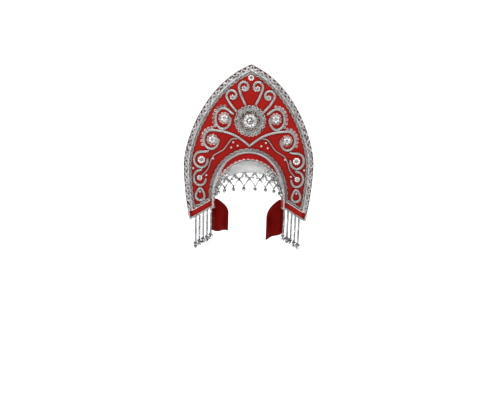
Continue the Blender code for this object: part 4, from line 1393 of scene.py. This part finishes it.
print("stones")
medallion = {
    "centre": (0, 100),
    "buttons": (25, 0.0298, 0.0037),  # how many, how far out, radius
    "plaitReach": 0.0240,
    "plaitPitch": 0.0174,
    "plait": {"step": 0.0009, "strands": 3, "threads": 2, "threadSpacing": 0.0012, "swing": 0.0021,
              "liftSwing": 0.0004, "liftRate": 2.0, "radius": 0.00055, "sides": 5, "height": 0.0010},
    "holes": (13, 0.0172, 0.0038),
    "holeLift": 0.0004,
    "holeTilt": 0.05,
    "innerRing": (0.0133, 0.0010, 0.0012),  # radius, thickness, lift
    "petals": (10, 0.0103, 0.0033, 0.0028),  # how many, how far out, radius, height
    "petalLift": 0.0006,
    "cup": (0.0058, 0.0009, 0.0010),
    "stone": (0.0050, 0.0036),
    "stoneLift": 0.0004,
}
rosettes = {  # place, centre stone, petals and rings: (how many, how far out, their radius)
    "upperRosette": ((25.3, 102.2), 0.0025, (6, 0.0054, 0.0029), (10, 0.0101, 0.0028)),
    "middleRosette": ((36.8, 80.8), 0.0025, (6, 0.0052, 0.0028), (10, 0.0097, 0.0027)),
    "lowerRosette": ((47.0, 60.4), 0.0023, (8, 0.0058, 0.0025), None),
    "topStone": ((0, 142), 0.0024, (8, 0.0047, 0.0019), None),
    "topEnd": ((6.6, 131.4), 0.0026, (6, 0.0040, 0.0018), None),
    "sideEnd": ((17.7, 122.7), 0.0026, (6, 0.0040, 0.0018), None),
    "vineEnd": ((48.4, 42.2), 0.0026, (8, 0.0043, 0.0017), None),
}
flowerBuild = {"stoneLift": 0.0008, "petalLift": 0.0004, "tall": 0.9, "cupOut": 0.0003, "cup": 0.0007}
pearls = {
    "radius": 0.0022,
    "lift": 0.9,
    "places": (
        (16.0, 78.7), (17.9, 73.5), (11.6, 75.4), (35.4, 62.1), (54.8, 51.5), (41.7, 45.0), (47.7, 28.2),
    ),
}
stoneTiers = ((0.52, 1.0, 0), (0.84, 0.70, 0.5), (1.0, 0.38, 0), (1.0, 0.22, 0.5), (0.8, 0.0, 0))
beadTiers = (  # share of the radius, share of the height, and half a facet's turn or none
    (0.32, 1.0, 0), (0.76, 0.70, 0.5), (0.98, 0.26, 0),
    (0.98, -0.26, 0.5), (0.76, -0.70, 0), (0.32, -1.0, 0.5),
)


def cutCorners(tiers, radius, height, sides=8):
    # corners of a cut stone lying flat, or of a faceted bead round its upright hole
    points = []
    for share, rise, half in tiers:
        for k in range(sides):
            turn, reach = tau * (k + half) / sides, radius * share
            points.append(Vector((reach * cos(turn), reach * sin(turn), height * rise)))
    return points


def hull(points):
    mesh = bmesh.new()
    for p in points:
        mesh.verts.new(p)
    bmesh.ops.convex_hull(mesh, input=mesh.verts)
    bmesh.ops.delete(mesh, geom=[v for v in mesh.verts if not v.link_faces], context="VERTS")
    bmesh.ops.recalc_face_normals(mesh, faces=mesh.faces)
    return mesh


def randomFacets(piece, seed):
    luck = random.Random(seed)
    setFacets(piece.data, [luck.uniform(0.0, 1.0) for _ in piece.data.polygons])
    return piece


def cutPiece(name, points, finishName, seed):
    return randomFacets(meshPiece(name, hull(points), finishName, False), seed)


def setOnBoard(points, centre, depth):
    # points given across, up and outward from a place on the board
    normal = boardNormal(centre.x)
    up = (boardPoint(centre.x, centre.y + 0.001, 0) - boardPoint(centre.x, centre.y, 0)).normalized()
    across = up.cross(normal).normalized()
    origin = boardPoint(centre.x, centre.y, depth)
    return [origin + across * p.x + up * p.y + normal * p.z for p in points]


def stonePiece(name, centre, radius, height, seed, lift, finishName="crystal", sides=8):
    points = cutCorners(stoneTiers, radius, height, sides)
    return cutPiece(name, setOnBoard(points, centre, sewnOn + lift), finishName, seed)


def petal(centre, radius, height, seed, lift):
    return stonePiece("petal", centre, radius, height, seed, lift, "petalStone", 7)


def aroundPlace(centre, count, radius, shift=0.5):
    return [centre + heading(tau * (k + shift) / count) * radius for k in range(count)]


def ringRope(name, centre, radius, size, lift, finishName="gimpThread"):
    line = onBoard(aroundPlace(centre, 48, radius, 0), sewnOn + lift)
    return twist(name, line, finishName, size * 3.2, True, step=size * 0.8, swing=size * 0.42,
                 liftSwing=size * 0.42, radius=size * 0.5)


def flower(name, centre, stone, petals, rings, seed):
    # stones like petals round a cut stone, some with a ring of sewn loops outside
    f = flowerBuild
    parts = [stonePiece("middle", centre, stone, stone * f["tall"], seed + 50, f["stoneLift"])]
    parts.append(ringRope("cup", centre, stone + f["cupOut"], f["cup"], f["stoneLift"]))
    count, reach, size = petals
    for k, place in enumerate(aroundPlace(centre, count, reach)):
        parts.append(petal(place, size, size * f["tall"], seed + k, f["petalLift"]))
    if rings:
        count, reach, size = rings
        parts.append(ringsAt("rings", aroundPlace(centre, count, reach, 0.2), size, seed))
    return joinPieces(name, parts)


def makeMedallion():
    # lace of rings, plait and stones round a large stone
    m, centre = medallion, chart(medallion["centre"])
    count, reach, size = m["buttons"]
    parts = [ringsAt("buttons", aroundPlace(centre, count, reach), size, 70)]
    line = onBoard(aroundPlace(centre, 120, m["plaitReach"], 0), sewnOn)
    pitch = evenPitch(line, m["plaitPitch"], True)
    parts.append(braid("plait", [line], "gimpThread", True, pitch=pitch, **m["plait"]))
    count, reach, size = m["holes"]
    centres = aroundPlace(centre, count, reach)
    parts.append(ringsAt("holes", centres, size, 71, "gimpThread", sewnOn + m["holeLift"], m["holeTilt"]))
    parts.append(ringRope("innerRing", centre, *m["innerRing"], "braidThread"))
    count, reach, size, height = m["petals"]
    for k, place in enumerate(aroundPlace(centre, count, reach)):
        parts.append(petal(place, size, height, 60 + k, m["petalLift"]))
    parts.append(ringRope("cup", centre, *m["cup"]))
    parts.append(stonePiece("middle", centre, *m["stone"], 90, m["stoneLift"]))
    finish(joinPieces("medallionLace", parts), "silver_gimp", "medallion")


def makeFlowers():
    seed = 100
    for name, (place, *values) in rosettes.items():
        for label, side in bothSides:
            seed += 70
            if name != "topStone":
                node = name.replace("Rosette", "_rosette") + "_" + label.lower()
                piece = flower(name + label, chart(place, side), *values, seed)
                finish(piece, "crystal", *([node] if "Rosette" in name else []))
            elif side > 0:
                finish(flower(name, chart(place), *values, seed), "crystal", "top_stone")


def makePearls():
    parts = []
    radius = pearls["radius"]
    for place in pearls["places"]:
        for label, side in bothSides:
            mesh = lathe(ballProfile(radius, radius, 8), 14)
            for v in mesh.verts:
                v.co = setOnBoard([v.co], chart(place, side), sewnOn + radius * pearls["lift"])[0]
            parts.append(meshPiece("pearl", mesh, "pearl"))
    finish(joinPieces("fieldPearls", parts), "crystal")


makeMedallion()
makeFlowers()
makePearls()

print("net")
net = {
    "beads": 10,
    "knotDrop": 0.70,
    "fineDrop": 0.50,
    "fineRows": 5,
    "fineStep": 0.25,  # width of a fine mesh, in hem beads
    "sideReach": 7,  # fine meshes that fill the net's ends
    "shortStrings": (0.25, 0.50, 0.76),
    "secondString": ((0.10, 0.93), (0.88, 0.012)),  # foot and tip beside each large string
    "knotRows": (-0.012, 0.055),
    "spacing": (2.0, 2.7),  # of fine and large strings, in seed beads
    "largeSize": 1.4,
    "halfWidth": 0.0690,
    "end": (0.0290, 0.0150),  # forward and up, at the net's ends and at its middle
    "front": (0.0610, 0.0415),
    "thickness": 0.0016,
    "lowest": radians(14),
    "beadRadius": 0.0036,
    "hemBead": 0.0041,
    "seedBead": 0.00120,
    "knotBead": 0.0017,
    "stopBead": 0.0011,
    "stops": ((-0.0052, -0.0042), (0.0042, 0.0043)),  # small beads over and under each hem bead
}
netRound = {"halfWidth": 0.080, "halfLength": 0.098, "rise": 0.0886, "setBack": 0.030}
ahead = Vector((0, -1, 0))
springing = boardPoint(0, board["archSpring"], 0)
roundCentre = springing + Vector((0, netRound["setBack"], 0))
firstPlace, lastPlace = -0.25, net["beads"] - 0.75


def hemPoint(turn):
    forward, up = (a + (b - a) * sin(turn) for a, b in zip(net["end"], net["front"]))
    return springing + Vector((net["halfWidth"] * cos(turn), -forward, up))


def bandEdgePoint(turn):
    low, rise = net["lowest"], board["archRise"]
    angle = low + (pi - 2 * low) * turn / pi
    place = Vector((archHalfWidth * cos(angle), board["archSpring"] + rise * sin(angle)))
    out = Vector((cos(angle) / archHalfWidth, sin(angle) / rise)).normalized()
    forward = bandFront + trims["gap"] + net["thickness"] * 0.4
    return bandPoint(place, out, angle, forward, -band["thickness"] / 2)


def roundRadius(place):
    away = place - roundCentre
    x, y, z = away.x / netRound["halfWidth"], away.y / netRound["halfLength"], away.z / netRound["rise"]
    return sqrt(x * x + y * y + z * z)


def netPlace(index, drop):
    # a place on the net: index counts the hem's beads, drop goes from the band to the hem
    turn = pi * (1 - min(max((index + 0.25) / (net["beads"] - 0.5), 0.0), 1.0))
    top, hem = bandEdgePoint(turn), hemPoint(turn)
    straight = top.lerp(hem, drop)
    wanted = roundRadius(top) * (1 - drop) + roundRadius(hem) * drop
    return roundCentre + (straight - roundCentre) * (wanted / roundRadius(straight))


def netLine(steps):
    # a thread through (index, drop) steps, following the net's round
    places = []
    for (i, a), (k, b) in zip(steps, steps[1:]):
        places += [netPlace(i + (k - i) * x / 3, a + (b - a) * x / 3) for x in range(3)]
    places.append(netPlace(*steps[-1]))
    return [(p, (p - roundCentre).normalized()) for p in places]


def fineThreads():
    # fine diamonds under the band, and further down at the net's two ends
    rows, step, low = net["fineRows"], net["fineStep"], net["fineDrop"]
    places = [firstPlace + step * k for k in range(round((lastPlace - firstPlace) / step) + 1)]
    found = []
    for row in range(2 * rows - 1):
        drops = (low * row / rows, low * (row + 1) / rows)
        reach = len(places) if row < rows else max(2, net["sideReach"] - (row - rows))
        for start in (0, 1):
            zigzag = [(index, drops[(k + start) % 2]) for k, index in enumerate(places[:reach])]
            found.append(netLine(zigzag))
            if row >= rows:
                found.append(netLine([(lastPlace + firstPlace - index, drop) for index, drop in zigzag]))
    return found + [netLine([(index, drop) for index in places]) for drop in (0.005, low)]


def largeThreads():
    # large diamonds down to the hem, with a second string beside each and shorter ones above
    low, knot = net["fineDrop"], net["knotDrop"]
    found = []
    for k in range(net["beads"]):
        for side in (-0.5, 0.5):
            corner = (min(max(k + side, firstPlace), lastPlace), knot)
            found += [netLine([(k, 0.98), corner]), netLine([(k, low), corner])]
            (foot, drop), (tip, below) = net["secondString"]
            found.append(netLine([(k + side * foot, drop), (k + side * tip, knot + below)]))
            for share in net["shortStrings"]:
                start, end = (k + side * share * 0.3, low + 0.015), (k + side * share, knot - 0.02)
                found.append(netLine([start, end]))
    return found


def netKnots():
    count = net["beads"]
    found = [netLine([(k, net["fineDrop"]), (k + 0.02, net["fineDrop"])]) for k in range(count)]
    for drop in net["knotRows"]:
        drop += net["knotDrop"]
        found += [netLine([(k + 0.5, drop), (k + 0.52, drop)]) for k in range(count - 1)]
    return found


cutBead = randomFacets(mould("cutBead", hull(cutCorners(beadTiers, 1.0, 0.9)), "chrome", False), 8)


def beads(name, lines, finishName, spacing, size, seed, bead=seedMould):
    values = {"spacing": spacing, "size": size, "seed": seed, "bead": bead}
    return grow(beadTree, routeObject(name, lines), finishName, **values)


def makeNet():
    size, large = net["seedBead"], net["seedBead"] * net["largeSize"]
    fineStep, largeStep = (size * share for share in net["spacing"])
    finish(joinPieces("beadNet", [
        beads("fine", fineThreads(), "seedGlass", fineStep, size, 2),
        beads("large", largeThreads(), "seedGlass", largeStep, large, 5),
        beads("knots", netKnots(), "chrome", 0.02, net["knotBead"], 9, cutBead),
    ]), "net_beads", "net")


def makeHemBead(index):
    hem = netPlace(index, 1.0)
    fall = (hem - netPlace(index, 0.9)).normalized()
    centre = hem + fall * (trims["gap"] + net["beadRadius"])
    turn = fall.to_track_quat("-Z", "Y")
    points = [centre + turn @ p for p in cutCorners(beadTiers, net["hemBead"], net["hemBead"] * 0.95)]
    bead = cutPiece("bead", points, "chrome", 300 + index)
    stops = [[(centre + fall * x, ahead) for x in ends] for ends in net["stops"]]
    small = beads("stops", stops, "seedGlass", 0.02, net["stopBead"], index)
    finish(joinPieces(f"hemBead{index + 1:02d}", [bead, small]), "chrome_beads", f"net_bead_{index + 1:02d}")


makeNet()
for index in range(net["beads"]):
    makeHemBead(index)

print("bead strands")
strand = {
    "count": 5,
    "length": 0.0660,
    "bead": 0.00265,
    "step": 0.0043,
    "drop": 0.00278,
    "first": 0.24,
    "last": 0.90,
    "endRadius": 0.0044,
    "end": (((0, 0, -0.6), 1.0), ((0.42, -0.60, 0.88), 0.78), ((-0.42, 0.60, 0.88), 0.78)),  # place, size
}


def makeStrand(label, side, index):
    outer, inner = lobeLine(0.0)
    share = strand["first"] + (strand["last"] - strand["first"]) * index / (strand["count"] - 1)
    edge = outer.lerp(inner, share)
    top = boardPoint(side * edge.x, edge.y, 0) - Vector((0, 0, strand["drop"]))
    foot = top - Vector((0, 0, strand["length"]))
    line = [(top.lerp(foot, i / 20), ahead) for i in range(21)]
    seed = 20 + index + (10 if side > 0 else 0)
    parts = [beads("chain", [line], "strandStone", strand["step"], strand["bead"], seed, cutBead)]
    for k, (place, share) in enumerate(strand["end"]):
        centre, size = foot + Vector(place) * strand["endRadius"], share * strand["endRadius"]
        points = [centre + p for p in cutCorners(beadTiers, size, size * 0.96)]
        parts.append(cutPiece("bead", points, "chrome", 400 + seed * 3 + k))
    piece = joinPieces(f"strand{label}{index + 1}", parts)
    finish(piece, "chrome_beads", f"strand_{label.lower()}_{index + 1}")


for label, side in bothSides:
    for index in range(strand["count"]):
        makeStrand(label, side, index)
for spare in (seedMould, cutBead, ringMould):
    bpy.data.objects.remove(spare)

print("ribbons")
ribbon = {
    "width": 0.038,
    "outward": 0.006,
    "gather": 0.34,
    "thickness": 0.0008,
    "fold": 0.0040,
    "seam": 0.045,
    "lengths": {"Left": 0.076, "Right": 0.096},
    "slant": {"Left": 0.0, "Right": 0.018},
    "waves": 1.2,
    "stand": 0.0006,
    "ripples": (0.0006, 0.0005),
    "columns": 30,
    "rows": 60,
}


def ribbonPoint(side, across, share, length, depth):
    top = boardPoint(side * archHalfWidth, ribbon["seam"], -band["behind"] - trims["gap"])
    spread = min(1.0, share * 2.2)
    gather = ribbon["gather"] + (1 - ribbon["gather"]) * spread * (2 - spread)
    x = side * (ribbon["outward"] - across * ribbon["width"] * gather)
    wave = sin((2 * across - 1) * pi * ribbon["waves"] + 0.6 * side) * min(1.0, share * 1.6)
    y = ribbon["stand"] + ribbon["fold"] * (1.2 * min(1.0, share * 4) + wave)
    high, low = ribbon["ripples"]
    ripple = high * sin(across * 17 + 4 * share + side) * exp(-3 * share) + low * sin(share * 9 + across * 5)
    return top + Vector((x, y + ripple + depth, -length * share))


def makeRibbon(label, side):
    # a satin tie hanging from its seam behind the band
    mesh = bmesh.new()
    columns, rows = ribbon["columns"], ribbon["rows"]
    length, slant = ribbon["lengths"][label], ribbon["slant"][label]

    def corner(i, k, depth):
        long = length - slant * (1 - k / columns)
        return mesh.verts.new(ribbonPoint(side, k / columns, i / rows, long, depth))

    def skin(depth):
        return [[corner(i, k, depth) for k in range(columns + 1)] for i in range(rows + 1)]

    twoSkins(mesh, skin(-ribbon["thickness"] / 2), skin(ribbon["thickness"] / 2))
    piece = meshPiece(f"ribbon{label}", mesh, "ribbonSatin")
    finish(piece, "ribbon_satin", f"ribbon_{label.lower()}")


for label, side in bothSides:
    makeRibbon(label, side)
